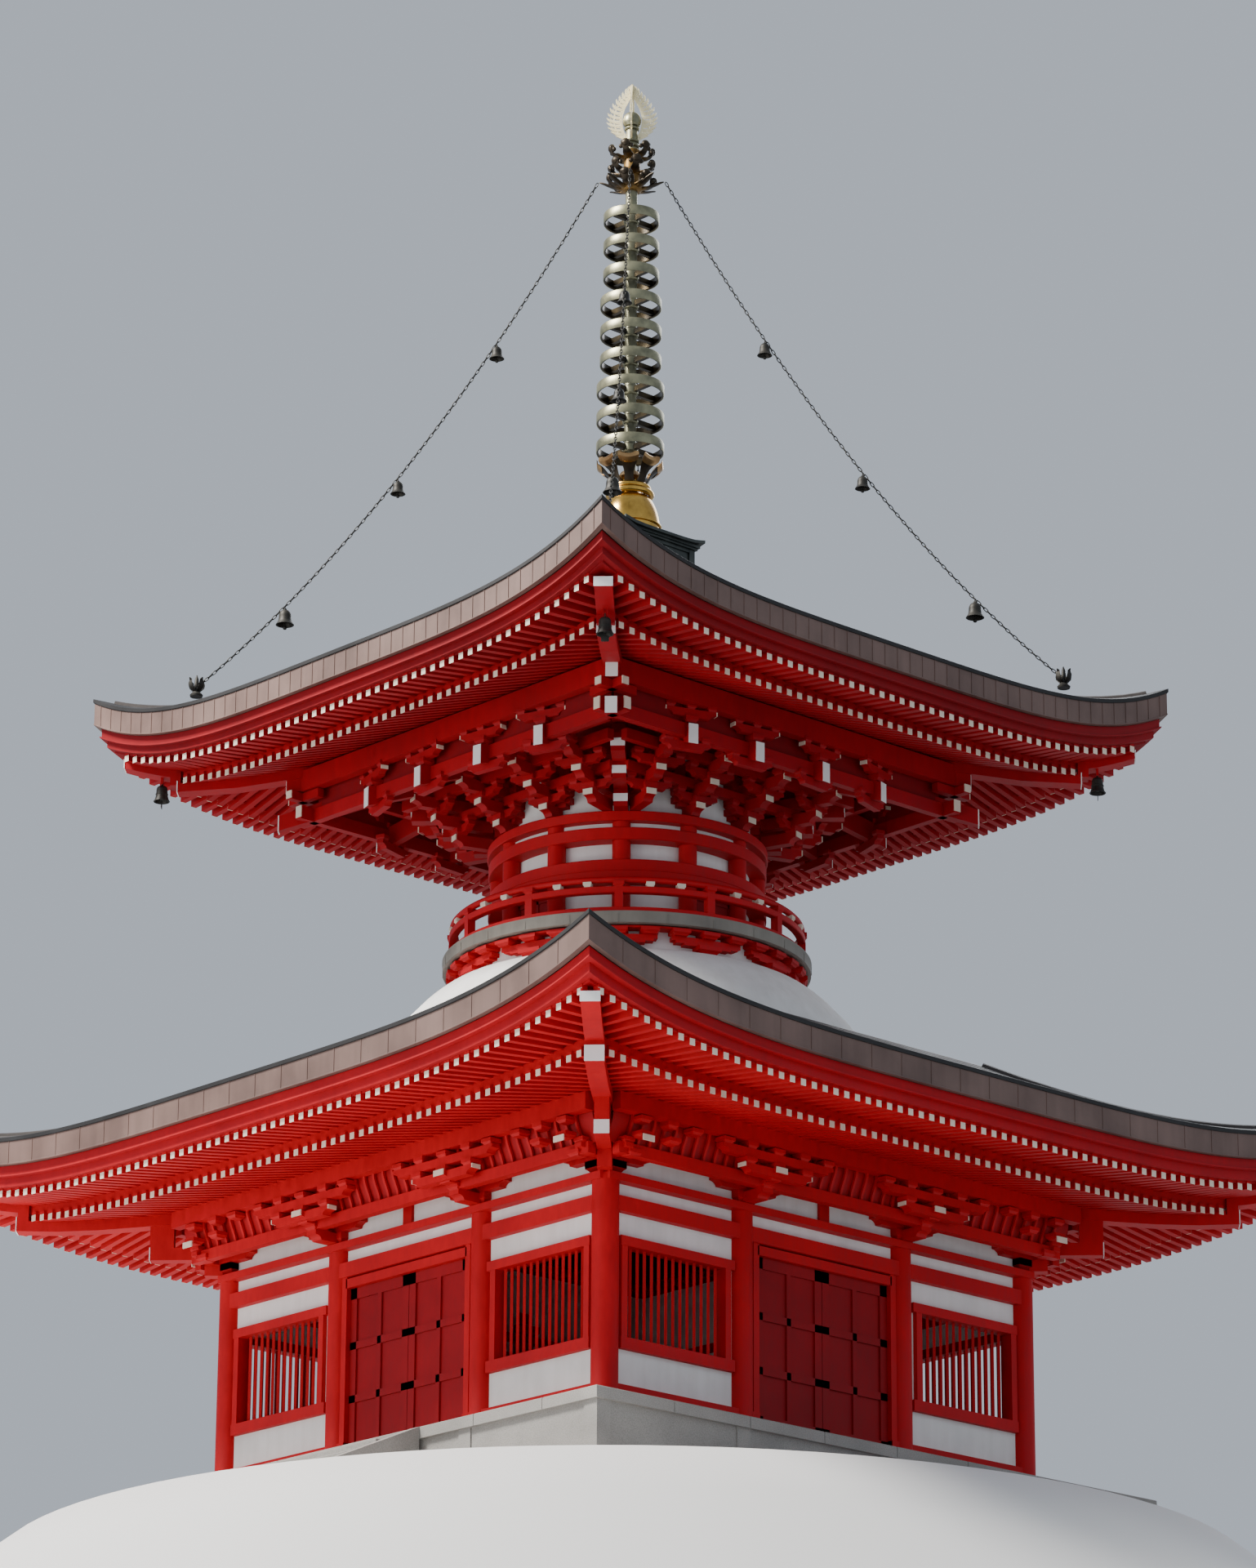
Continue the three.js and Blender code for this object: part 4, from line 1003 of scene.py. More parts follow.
def makeRailing(s):
    # two flat rails and a round hand rail carried round the axis, on posts, saddles and pale spacers
    r, half, pitch = s["radius"], s["postHalf"], 360 / s["posts"]
    parts = [hoop(r - wide, r + wide, low, high, 144, 0.008) for wide, low, high in s["rails"]]
    parts.append(roundRing(r, s["hand"], s["handHalf"], 12, 144))
    posts = (np.arange(s["posts"]) + 0.5) * pitch
    post = prism(rectangle(-half, half, -half, half), *s["postSpan"], "up")
    parts += [stamp(upright, onCircle(r, posts), posts) for upright in (post, bearingBlock(*s["saddle"]))]
    buildPiece("balcony_rail_timber", parts, litRedPaint, ["balcony_railing"])
    between = np.concatenate([posts + pitch / 3, posts + pitch * 2 / 3])
    spacers = stamp(bearingBlock(*s["spacer"]), onCircle(r, between), between)
    buildPiece("balcony_rail_spacers", [spacers], shadedEndPaint)


drumSet = {
    "wallIn": 1.26, "wallOut": 1.348, "low": 6.7705, "top": 8.05,
    "jamb": 0.34, "jambRadius": 1.36, "overDoor": 7.28,
    "strip": (1.38, 1.435, 7.868, 7.942), "neck": (1.27, 1.37, 8.049, 9.16),
    "bands": [(1.30, 1.535, 7.26, 7.505), (1.30, 1.535, 7.73, 7.868), (1.30, 1.55, 7.942, 8.05),
              (1.30, 1.46, 6.772, 6.86)],
    "bead": (1.50, 1.541, 7.375, 7.39), "pillars": 12, "pillarRadius": 1.42,
    "pillar": [(0, 6.771), (0.104, 6.771), (0.104, 6.80), (0.10, 6.81), (0.10, 8.0), (0, 8.0)],
    "frame": [(1.30, 1.40, 0.30, 0.35, 6.80, 7.27)], "head": (1.29, 1.40, 0.35, 7.215, 7.27),
    "leaf": (1.305, 1.335, 0.004, 0.298, 6.83, 7.22), "rails": [(6.83, 6.88), (7.0, 7.04), (7.17, 7.22)],
    "railOut": (1.33, 1.348), "stile": 0.045, "gapStrip": (1.292, 1.31, 0.02, 6.832, 7.21),
}


def leafEdges(s):
    # rails and stiles of a door leaf: across from, across to, low, high
    a, b, low, high = s["leaf"][2:]
    stiles = [(a, a + s["stile"], low, high), (b - s["stile"], b, low, high)]
    return [(a, b, *rail) for rail in s["rails"]] + stiles


def makeDrum(s):
    # curved plaster panels beside and over four doors, bands and pillars round them, and the door leaves
    jamb = math.degrees(math.asin(s["jamb"] / s["jambRadius"]))
    quarter = [arcBlock(s["wallIn"], s["wallOut"], s["low"], s["top"], jamb, 90 - jamb, 24),
               arcBlock(s["wallIn"], s["wallOut"], s["overDoor"], s["top"], -jamb, jamb, 12)]
    buildPiece("drum_panels", turnParts(quarter, allTurns) + [hoop(*s["strip"], 128, 0.004)], whitePlaster,
               ["drum_wall_" + side for side in sideTurns])
    buildPiece("drum_neck", [hoop(*s["neck"], 128)], whitePlaster, ["drum_frieze"])

    timber = [hoop(*band, 128, 0.008) for band in s["bands"]] + [hoop(*s["bead"], 128, 0.003)]
    angles = (np.arange(s["pillars"]) + 0.5) * 360 / s["pillars"]
    timber.append(stamp(turned(s["pillar"], 28), onCircle(s["pillarRadius"], angles)))
    timber += turnParts(boxParts(bothSides(s["frame"])) + boxParts([middleBox(*s["head"])]), allTurns)
    buildPiece("drum_timber", timber, litRedPaint, ["drum_frame"])

    boxes = bothSides([s["leaf"]] + [(*s["railOut"], *edge) for edge in leafEdges(s)])
    leaves = boxParts(boxes) + boxParts([middleBox(*s["gapStrip"])])
    buildPiece("drum_door_leaves", turnParts(leaves, allTurns), redDoor,
               ["drum_doors_" + side for side in sideTurns])


makeDome(domeSet)
makeBalconyRing(ringSet)
makeDeck(deckSet)
makeRailing(railSet)
makeDrum(drumSet)
print("dome, balcony and drum ready")


# Spire, chains and bells

spireSet = {"pitch": 0.355, "first": 12.836, "outer": [0.386] * 3 + [0.352] * 3 + [0.321] * 3,
            "pole": [(0, 12.60), (0.068, 12.60), (0.068, 16.09), (0, 16.09)],
            "band": [(-0.013, 0.003), (-0.004, 0), (0, 0.008), (0, 0.107), (-0.004, 0.115), (-0.013, 0.112)],
            "lining": [(-0.026, 0.008), (-0.012, 0.002), (-0.012, 0.113), (-0.026, 0.107)],
            "hub": [(0.06, 0.005), (0.08, 0.005), (0.09, 0.02), (0.09, 0.095), (0.08, 0.11), (0.06, 0.11)],
            "spokeIn": 0.08, "spokeEnd": 0.02, "spokeHalf": 0.024, "spokeSpan": (0.025, 0.09),
            "knob": (0.078, 0.17, 0.012)}


def makeSpire(s):
    # each ring: a pale band outside, a dark lining, four spokes to a pale hub, and a knob on the pole above;
    # lining, spokes and knob are near-black as painted shade
    pale, dark = [turned(s["pole"], 32)], []
    for k, outer in enumerate(s["outer"]):
        low, edge = [0, 0, s["first"] + s["pitch"] * k], [outer, 0]
        pale += shiftParts([turned(np.add(s["band"], edge), 72, closed=True),
                            turned(s["hub"], 32, closed=True)], low)
        spoke = boxParts([middleBox(s["spokeIn"], outer - s["spokeEnd"], s["spokeHalf"], *s["spokeSpan"])])
        dark += shiftParts([turned(np.add(s["lining"], edge), 72, closed=True), roundRing(*s["knob"], 8, 32)]
                           + turnParts(spoke, allTurns), low)
    buildPiece("spire_ring_stack", pale, spireBronze, ["spire_rings"])
    # the linings take near-black bronze as painted shade
    buildPiece("spire_ring_linings", dark, ringShadeBronze)


# heights from the underside up; slabs: half side, low, high; trim: out, out, across, across, low, high
basinSet = {"low": 11.3205, "slabs": [(0.56, 0, 0.05), (0.545, 0.04, 0.09), (0.50, 0.08, 0.3995),
                                      (0.545, 0.3245, 0.3545), (0.565, 0.3495, 0.3795)],
            "posts": [(0.495, 0.522, 0.44, 0.52, 0.08, 0.3395)],
            "bands": [(0.495, 0.514, 0.03, 0.08, 0.3395), (0.495, 0.518, 0.46, 0.08, 0.125),
                      (0.495, 0.518, 0.46, 0.2845, 0.3295)],
            "top": (0.605, 0.3745, 0.4095), "horn": 0.04}


def horned(half, low, high, horn, samples=9):
    # square slab that sweeps up to its corners: rise = horn x (share of half side, both ways)^5
    u, v = np.meshgrid(np.linspace(-1, 1, samples), np.linspace(-1, 1, samples), indexing="ij")
    rise = horn * (np.abs(u) * np.abs(v)) ** 5
    upper, lower = (np.stack([u * half, v * half, level + rise], -1) for level in (high, low))
    return sheetPart(upper, lower)


def makeBasin(s):
    # stepped square slabs, posts and bands on their faces, and a slab with horned corners on top
    parts = boxParts([(-half, half, -half, half, low, high) for half, low, high in s["slabs"]])
    trim = boxParts(bothSides(s["posts"])) + boxParts([middleBox(*band) for band in s["bands"]])
    parts += [horned(*s["top"], s["horn"])] + turnParts(trim, allTurns)
    buildPiece("basin_panels", shiftParts(parts, [0, 0, s["low"]]), basinBronze, ["dew_basin"])


def leafSheet(rows, thick, scale=1.0):
    # sheet metal leaf, each row (out, up, half width): its edges cup up by a quarter of the half width x u^2
    out, up, half = (column[:, None] for column in np.asarray(rows, float).T)
    u = np.linspace(-1, 1, 7)
    front = np.stack([out * scale + 0 * u, half * u, up + 0.25 * half * u ** 2], -1)
    return sheetPart(front, front - [0, 0, thick])


bowlSet = {
    "petals": 8, "petalLow": 12.44, "foot": [(0, 11.77), (0.375, 11.77), (0.375, 11.80)],
    "bowl": [(0.345, 11.775), (0.345, 11.86), (0.335, 12.0), (0.305, 12.13), (0.25, 12.25), (0.19, 12.31)],
    "neck": [(0.15, 12.34), (0.10, 12.40), (0.10, 12.60), (0, 12.60)],
    "seed": [(0, 12.50), (0.12, 12.50), (0.15, 12.53), (0.10, 12.60), (0, 12.61)],
    "mouldings": [(0.242, 12.325, 0.036, 14), (0.205, 12.395, 0.036, 14), (0.352, 11.93, 0.012, 10)],
    # rows of a leaf: out, up, half width
    "stem": [(0.185, 0.0, 0.052), (0.205, 0.04, 0.05), (0.225, 0.085, 0.053), (0.255, 0.135, 0.068),
             (0.30, 0.175, 0.095), (0.345, 0.20, 0.112)], "stemThick": 0.012,
    "lip": [(0.315, 0.178, 0.10), (0.352, 0.198, 0.116), (0.372, 0.222, 0.12), (0.374, 0.25, 0.112),
            (0.362, 0.262, 0.07)], "lipThick": 0.014,
}


def makeBowl(s):
    # bowl and mouldings carried round the axis; each petal is a stem that widens to an upturned gilt lip
    core = turned(np.vstack([s["foot"], softCurve(s["bowl"], 6), s["neck"]]), 72)
    rings = [roundRing(*moulding, 72) for moulding in s["mouldings"]]
    turns, low = 360 / s["petals"] * np.arange(s["petals"]), [0, 0, s["petalLow"]]
    stems, lips = (turnParts(shiftParts([leafSheet(s[name], s[name + "Thick"])], low), turns)
                   for name in ("stem", "lip"))
    buildPiece("bowl_and_lotus", [core] + rings, brightGilt, ["inverted_bowl"])
    buildPiece("lotus_lips", lips + [turned(s["seed"], 32)], lipGilt)
    buildPiece("lotus_petals", stems, leafBronze)


flameSet = {
    "high": 17.459, "licks": 15, "offset": 0.35, "thick": 0.009,
    # an outer lick leaves the inner line before its share, bends at a knee and ends on the outline after it
    "lickBack": 0.05, "kneeBack": 0.055, "kneeOut": 0.72, "lickOn": 0.045,
    "lickHalf": 0.018, "lickTaper": 0.93,
    # an inner lick ends between the outline and the middle line
    "tipOn": 0.10, "tipOut": 0.55, "tipHalf": 0.012, "tipTaper": 0.9, "tipThick": 0.8,
    "lineThick": 0.9, "innerHalf": 0.016, "middleHalf": 0.0085, "collar": 0.072, "collarWire": 0.016,
    "outline": [(0.07, 16.745), (0.19, 16.80), (0.275, 16.90), (0.295, 17.01), (0.27, 17.13), (0.205, 17.24),
                (0.13, 17.33), (0.06, 17.41), (0.0, 17.452)],
    "inner": [(0.055, 16.76), (0.105, 16.84), (0.125, 16.94), (0.125, 17.04), (0.105, 17.13), (0.07, 17.21),
              (0.035, 17.28), (0.012, 17.33), (0.0, 17.36)],
    "spine": [(0, 16.95), (0.0, 17.2), (0.0, 17.455)], "spineHalf": [0.03, 0.026, 0.004],
    "core": [(0, 16.09), (0.068, 16.09), (0.068, 16.90), (0.05, 16.93), (0, 16.93)],
    "jewelFoot": [(0, 16.905), (0.06, 16.905)],
    "jewel": [(0.085, 16.915), (0.104, 16.95), (0.106, 17.0), (0.088, 17.05), (0.05, 17.085), (0.0, 17.095)],
    "collars": [16.66, 16.72, 16.88],
}


def ribbon(line, half, thick):
    # flat ribbon in the out-up plane: line + half x normal and line - half x normal, thick to both sides
    line = np.asarray(line, float)
    along = unitRows(np.gradient(line, axis=0))
    normal = np.stack([-along[:, 1], along[:, 0]], -1) * np.broadcast_to(half, len(line))[:, None]
    ring = [np.insert(line + side * normal, 1, depth, axis=1)
            for side, depth in ((1, -thick), (-1, -thick), (-1, thick), (1, thick))]
    return np.stack(ring, 1).reshape(-1, 3), tubeFaces(len(line), 4, True)


def bend(start, middle, end, t):
    # start (1 - t)^2 + 2 middle t (1 - t) + end t^2
    return start * (1 - t) ** 2 + 2 * middle * t * (1 - t) + end * t ** 2


def pointAt(curve, share):
    # the curve's point at a share of its length
    return curve[int(np.clip(share, 0, 1) * (len(curve) - 1))]


def mixed(start, end, share):
    # start + share x (end - start)
    return start * (1 - share) + end * share


def flameSheet(s):
    # pierced leaf of flame: many thin licks start at an inner oval and curve up to a pointed outline
    outline, inner, thick = softCurve(s["outline"], 12), softCurve(s["inner"], 12), s["thick"]
    middle = outline * 0.5 + inner * 0.5
    t = np.linspace(0, 1, 7)
    parts = []
    for k in range(s["licks"]):
        share = (k + s["offset"]) / s["licks"]
        knee = mixed(pointAt(inner, share), pointAt(outline, share - s["kneeBack"]), s["kneeOut"])
        end = pointAt(outline, share + s["lickOn"])
        lick = bend(pointAt(inner, share - s["lickBack"]), knee, end, t[:, None])
        half = s["lickHalf"] * (0.75 + 0.5 * t) * (1 - s["lickTaper"] * t ** 3)
        parts.append(ribbon(lick, half, thick))
        tip = mixed(pointAt(middle, share + s["tipOn"]), pointAt(outline, share + s["tipOn"]), s["tipOut"])
        lick = bend(pointAt(inner, share), pointAt(middle, share), tip, t[:, None])
        parts.append(ribbon(lick, s["tipHalf"] * (1 - s["tipTaper"] * t ** 3), thick * s["tipThick"]))
    for curve, half in ((inner, s["innerHalf"]), (middle, s["middleHalf"])):
        parts.append(ribbon(curve[:-1:3], half, thick * s["lineThick"]))
    mirrored = [(points * [-1, 1, 1], flipFaces(faces)) for points, faces in parts]
    parts += mirrored + [ribbon(s["spine"], s["spineHalf"], thick)]
    return [(np.minimum(points, [np.inf, np.inf, s["high"]]), faces) for points, faces in parts]


def makeFlame(s):
    # two crossed leaves of flame over the jewel and its stem
    buildPiece("flame_filigree", turnParts(flameSheet(s), [45, 135]), flameGilt, ["flaming_jewel"])
    jewel = softCurve(s["jewel"], 6)
    jewel[-1, 0] = 0  # closes on the axis
    stem = [turned(s["core"], 28), turned(np.vstack([s["jewelFoot"], jewel]), 32)]
    stem += [roundRing(s["collar"], height, s["collarWire"], 10, 28) for height in s["collars"]]
    buildPiece("jewel_and_stem", stem, spireBronze)


leafSet = {
    "leaves": 6, "wings": 8, "tiers": [(16.10, 1.08, 0.03, 0), (16.30, 1.04, 0, 30), (16.50, 1.0, 0, 0)],
    "leaf": [(0.05, 0.0, 0.05), (0.12, 0.004, 0.06), (0.18, 0.016, 0.052), (0.225, 0.042, 0.036),
             (0.252, 0.078, 0.05), (0.262, 0.112, 0.052), (0.256, 0.145, 0.024)], "leafThick": 0.012,
    # rolled lobe at each tip, a flattened ball between two smaller ones: half sizes, place
    "lobes": [((0.042, 0.058, 0.05), (0.238, 0, 0.112)), ((0.024, 0.026, 0.028), (0.222, 0.062, 0.08)),
              ((0.024, 0.026, 0.028), (0.222, -0.062, 0.08))],
    "wing": [(0.05, 0.0, 0.03), (0.14, 0.02, 0.038), (0.22, 0.045, 0.040), (0.28, 0.07, 0.036),
             (0.33, 0.095, 0.024), (0.372, 0.112, 0.007)], "wingThick": 0.010,
    "collar": [(0.05, -0.02), (0.10, -0.01), (0.13, 0.02), (0.07, 0.05), (0.05, 0.05)],
    "collarRing": (0.078, 0.012, 0.022),
    "sleeve": [(0.06, 16.10), (0.098, 16.11), (0.088, 16.30), (0.098, 16.36), (0.088, 16.5), (0.098, 16.60),
               (0.06, 16.62)],
}


def makeSpireLeaves(s):
    # three tiers of six leaves whose tips turn up, wings under the lowest and a dark sleeve round the pole
    t = np.linspace(-np.pi / 2, np.pi / 2, 9)
    points, faces = turned(np.stack([np.maximum(np.cos(t), 0), np.sin(t)], -1), 12)
    lobes = [(points * size + place, faces) for size, place in s["lobes"]]
    collar = [roundRing(*s["collarRing"], 10, 32), turned(s["collar"], 32, closed=True)]
    parts = [turned(s["sleeve"], 28, closed=True)]
    for low, scale, raised, offset in s["tiers"]:
        leaf = [leafSheet(s["leaf"], s["leafThick"], scale)] + [(p * [scale, 1, 1], f) for p, f in lobes]
        turns = offset + 360 / s["leaves"] * np.arange(s["leaves"])
        parts += turnParts(shiftParts(leaf, [0, 0, low + raised]), turns) + shiftParts(collar, [0, 0, low])
    wing = shiftParts([leafSheet(s["wing"], s["wingThick"])], [0, 0, s["tiers"][0][0]])
    parts += turnParts(wing, 360 / s["wings"] * np.arange(s["wings"]))
    buildPiece("spire_leaves", parts, leafBronze)


chainSet = {
    "high": (0.3923, 16.20), "reach": 4.85, "over": 0.23, "sag": 0.55, "pitch": 0.058, "wire": 0.0055,
    "samples": 2000, "slopeStep": 0.01,
    "linkLong": 1.24, "linkWide": 0.48, "bells": [(0.30, 1.12), (0.56, 1.12), (0.82, 1.344)],  # share, size
    "hook": [(0, -0.07), (0.005, -0.07), (0.005, 0), (0, 0)], "hang": 0.05, "finialOver": 0.14,
    "finial": [(0, -0.02), (0.07, -0.02), (0.075, 0.0), (0.045, 0.035), (0.026, 0.06), (0.03, 0.10),
               (0.022, 0.19), (0.006, 0.235), (0, 0.24)],
    "leaf": [(0.02, 0.045, 0.022), (0.05, 0.055, 0.032), (0.08, 0.085, 0.038), (0.092, 0.125, 0.034),
             (0.085, 0.165, 0.022), (0.105, 0.19, 0.006)], "leafThick": 0.008,
}
# lines of a small bell, for a size of one
smallBellSet = {"shell": [(0.012, 0.0), (0.035, -0.008), (0.05, -0.035), (0.053, -0.07), (0.060, -0.10),
                          (0.078, -0.13)], "lip": (0.070, -0.13),
                "crown": [(0.006, 0.004), (0.006, -0.012)], "inside": 0.9, "insideDrop": 0.0012,
                "cap": [(0, -0.01), (0.014, -0.01), (0.014, 0.012), (0, 0.02)],
                "knob": [(0, -0.175), (0.014, -0.168), (0.02, -0.155), (0.014, -0.142), (0, -0.136)],
                "stem": [(0, -0.15), (0.004, -0.15), (0.004, -0.01), (0, -0.01)]}


def ovalLink(length, width, wire, steps=12, wireSides=6):
    # oval link of round wire: out = length / 2 x cos t to the power 0.75, up = width / 2 x sin t
    t = np.arange(steps) * 2 * np.pi / steps
    out = length / 2 * np.sign(np.cos(t)) * np.abs(np.cos(t)) ** 0.75
    return wireLoop(np.stack([out, 0 * t, width / 2 * np.sin(t)], -1), wire, wireSides)


def smallBell(size, s):
    # hollow bell with a cap, clapper and stem, each a line carried round the axis
    line = softCurve(s["shell"], 5)[::-1]
    profile = np.vstack([line, s["crown"], line[::-1] * [s["inside"], 1] - [0, s["insideDrop"]]])
    profile[-1] = s["lip"]
    return [turned(profile * size, 24, closed=True)] + [
        turned(np.array(s[name]) * size, sides) for name, sides in (("cap", 12), ("knob", 12), ("stem", 8))]


def makeChains(s):
    # a chain sags by 4 t (1 - t) below its straight line, with links at even steps along it, sloped with it
    roofZ = float(cornerHeight(upperEave, roofTop, s["reach"]))
    t = np.linspace(0, 1, s["samples"])
    r = s["high"][0] + (s["reach"] - s["high"][0]) * t
    z = s["high"][1] + (roofZ + s["over"] - s["high"][1]) * t - s["sag"] * 4 * t * (1 - t)
    length = np.concatenate([[0], np.cumsum(np.hypot(np.diff(r), np.diff(z)))])

    def along(at):
        # the chain's radius and height at a distance from its upper end
        return np.interp(at, length, r), np.interp(at, length, z)

    count = int(length[-1] / s["pitch"])
    at = (np.arange(count) + 0.5) * length[-1] / count
    (nextR, nextZ), (lastR, lastZ) = along(at + s["slopeStep"]), along(at - s["slopeStep"])
    midR, midZ = along(at)
    slope = np.arctan2(nextZ - lastZ, nextR - lastR)[:, None]
    link, faces = ovalLink(s["pitch"] * s["linkLong"], s["pitch"] * s["linkWide"], s["wire"])
    # every second link is turned a quarter about the chain's own line
    quarter = np.stack([link[:, 0], -link[:, 2], link[:, 1]], -1)
    x, y, up = np.moveaxis(np.where((np.arange(count) % 2)[:, None, None], quarter, link), -1, 0)
    links = [x * np.cos(slope) - up * np.sin(slope) + midR[:, None], y,
             x * np.sin(slope) + up * np.cos(slope) + midZ[:, None]]
    parts = [(np.stack(links, -1).reshape(-1, 3), repeatFaces(faces, len(link), count))]
    for share, size in s["bells"]:
        bellR, bellZ = along(share * length[-1])
        parts += shiftParts(smallBell(size, smallBellSet), [bellR, 0, bellZ - s["hang"]])
        parts += shiftParts([turned(s["hook"], 8)], [bellR, 0, bellZ])
    # a finial on the hip holds the chain's foot, with four leaves that curl up and outwards round it
    leaf = leafSheet(s["leaf"], s["leafThick"])
    finial = [turned(s["finial"], 20)] + turnParts([leaf], [45, 135, 225, 315])
    parts += shiftParts(finial, [s["reach"], 0, roofZ + s["finialOver"]])
    for corner, turn in cornerTurns.items():
        buildPiece("chain_links_" + corner, turnParts(parts, [turn]), darkBronze,
                   ["chain_" + corner])


windBellSet = {
    "reach": 5.2, "pin": 8.935, "eye": 0.0135, "eyeWire": 0.0045,
    "outer": [(0.014, -0.030), (0.045, -0.040), (0.060, -0.065), (0.064, -0.11), (0.070, -0.16),
              (0.087, -0.215)],
    "inner": [(0.006, -0.046), (0.040, -0.052), (0.053, -0.075), (0.057, -0.12), (0.063, -0.17),
              (0.079, -0.215)],
    "rings": [(0.0665, -0.13, 0.005), (0.086, -0.212, 0.006)],
    "neck": [(0, -0.052), (0.010, -0.05), (0.013, -0.04), (0.010, -0.018), (0, -0.016)],
    "stem": [(0, -0.225), (0.0045, -0.225), (0.0045, -0.045), (0, -0.045)],
    "clapper": [(0, -0.20), (0.016, -0.192), (0.022, -0.178), (0.016, -0.164), (0, -0.158)],
    # right half of the cloud-shaped wind plate
    "plate": [(0, -0.222), (0.018, -0.228), (0.040, -0.232), (0.045, -0.250), (0.038, -0.265),
              (0.044, -0.282), (0.030, -0.296), (0.012, -0.292), (0, -0.298)], "plateHalf": 0.0025,
}


def makeWindBells(s):
    # hollow bell with two raised rings, an eye, a clapper on its stem, and a wind plate below the clapper
    shell = np.vstack([softCurve(s["outer"], 6)[::-1], softCurve(s["inner"], 6)])
    parts = [turned(shell, 36, closed=True)] + [roundRing(*ring, 8, 36) for ring in s["rings"]]
    parts += [turned(s[name], sides) for name, sides in (("neck", 16), ("stem", 10), ("clapper", 16))]
    t = np.arange(20) * 2 * np.pi / 20
    parts.append(wireLoop(np.stack([s["eye"] * np.cos(t), 0 * t, s["eye"] * np.sin(t)], -1), s["eyeWire"], 8))
    plate = s["plate"] + [(-a, b) for a, b in s["plate"][-2:0:-1]]
    parts.append(prism(plate, -s["plateHalf"], s["plateHalf"], "out"))
    hung = shiftParts(parts, [s["reach"], 0, s["pin"]])
    for corner, turn in cornerTurns.items():
        buildPiece("bell_shell_" + corner, turnParts(hung, [turn]), darkBronze,
                   ["wind_bell_" + corner], body="bell_" + corner)


makeSpire(spireSet)
makeBasin(basinSet)
makeBowl(bowlSet)
makeFlame(flameSet)
makeSpireLeaves(leafSet)
makeChains(chainSet)
makeWindBells(windBellSet)
print("spire, chains and bells ready")


# Lower storey and platform: boxes are out, out, across, across, low, high, or with one half width across

wallSet = {
    "line": 3.0, "pillars": [-1.15, 1.15, 3.0],
    "pillar": [(0, 0.801), (0.175, 0.801), (0.175, 0.85), (0.145, 0.88), (0.14, 0.90), (0.14, 3.22),
               (0.132, 3.28), (0, 3.28)],
    "ties": [(2.92, 3.08, 3.0, 0.801, 0.96), (2.89, 3.11, 3.0, 2.90, 3.06), (2.86, 3.15, 3.08, 3.20, 3.2795),
             (2.93, 3.09, 0.97, 2.78, 2.88)],
    "frames": [(2.90, 3.10, 0.95, 3.0, 0.955, 1.13), (2.93, 3.09, 1.29, 2.86, 1.50, 1.62),
               (2.93, 3.09, 1.29, 2.86, 2.56, 2.66), (2.935, 3.085, 1.34, 1.42, 1.60, 2.58),
               (2.935, 3.085, 2.77, 2.85, 1.60, 2.58), (2.93, 3.09, 0.95, 1.03, 0.955, 2.90)],
    "bars": 13, "barPitch": 0.098, "barHalf": 0.022, "barSpan": (1.60, 2.58), "windowMiddle": 2.075,
    "panels": [(1.03, 3.0, 1.13, 1.50), (1.03, 3.0, 2.66, 2.90), (1.03, 1.36, 1.50, 2.66),
               (2.83, 3.0, 1.50, 2.66)], "panelOut": (2.965, 3.03),
    "friezes": [(2.965, 3.03, 3.0, 3.05, 3.21), (2.96, 3.045, 3.0, 3.275, 4.03)],
    "leaf": (2.985, 3.012, 0.004, 0.948, 0.985, 2.778), "stile": 0.10,
    "muntin": (0.446, 0.506, 1.12, 2.66),
    "rails": [(0.985, 1.12), (2.66, 2.778), (1.55, 1.63), (2.12, 2.20)],
    "railOuts": [(3.005, 3.034), (2.962, 2.99)], "gapStrip": (2.952, 2.986, 0.035, 0.985, 2.778),
}


def makeLowerWalls(s):
    # pillars and ties, window and door frames, bars on edge, plaster between them, and the door leaves
    red = [stamp(turned(s["pillar"], 32), [(s["line"], across, 0) for across in s["pillars"]])]
    red += boxParts([middleBox(*tie) for tie in s["ties"]]) + boxParts(bothSides(s["frames"]))
    half, offsets = s["barHalf"], (np.arange(s["bars"]) - s["bars"] // 2) * s["barPitch"]
    bar = prism([(-half, 0), (0, -half), (half, 0), (0, half)], *s["barSpan"], "up")
    across = np.concatenate([side * s["windowMiddle"] + offsets for side in (-1, 1)])
    red.append(stamp(bar, np.stack([s["line"] + 0 * across, across, 0 * across], -1)))
    buildPiece("lower_wall_timber", turnParts(red, allTurns), litRedPaint,
               [side + "_wall" for side in sideTurns])

    panels = boxParts(bothSides([(*s["panelOut"], *panel) for panel in s["panels"]]))
    panels += boxParts([middleBox(*frieze) for frieze in s["friezes"]])
    buildPiece("lower_wall_plaster", turnParts(panels, allTurns), whitePlaster,
               ["lower_frieze"])

    edges = leafEdges(s) + [s["muntin"]]
    leaves = boxParts(bothSides([s["leaf"]] + [(*outs, *edge) for edge in edges for outs in s["railOuts"]]))
    leaves += boxParts([middleBox(*s["gapStrip"])])
    buildPiece("lower_door_leaves", turnParts(leaves, allTurns), redDoor,
               [side + "_doors" for side in sideTurns])


def easedSlabs(boxes, ease=0.008):
    # slabs with sloped top edges: four corners low, the same just under the top, and the top drawn in by ease
    out0, out1, across0, across1, low, high = np.asarray(boxes, float).T

    def ring(inset, height):
        corners = rectangle(out0 + inset, out1 - inset, across0 + inset, across1 - inset)
        return [np.stack([x, y, height], -1) for x, y in corners]

    points = np.stack(ring(0, low) + ring(0, high - ease) + ring(ease, high), 1)
    return [(points.reshape(-1, 3), repeatFaces(tubeFaces(3, 4, True), 12, len(points)))]


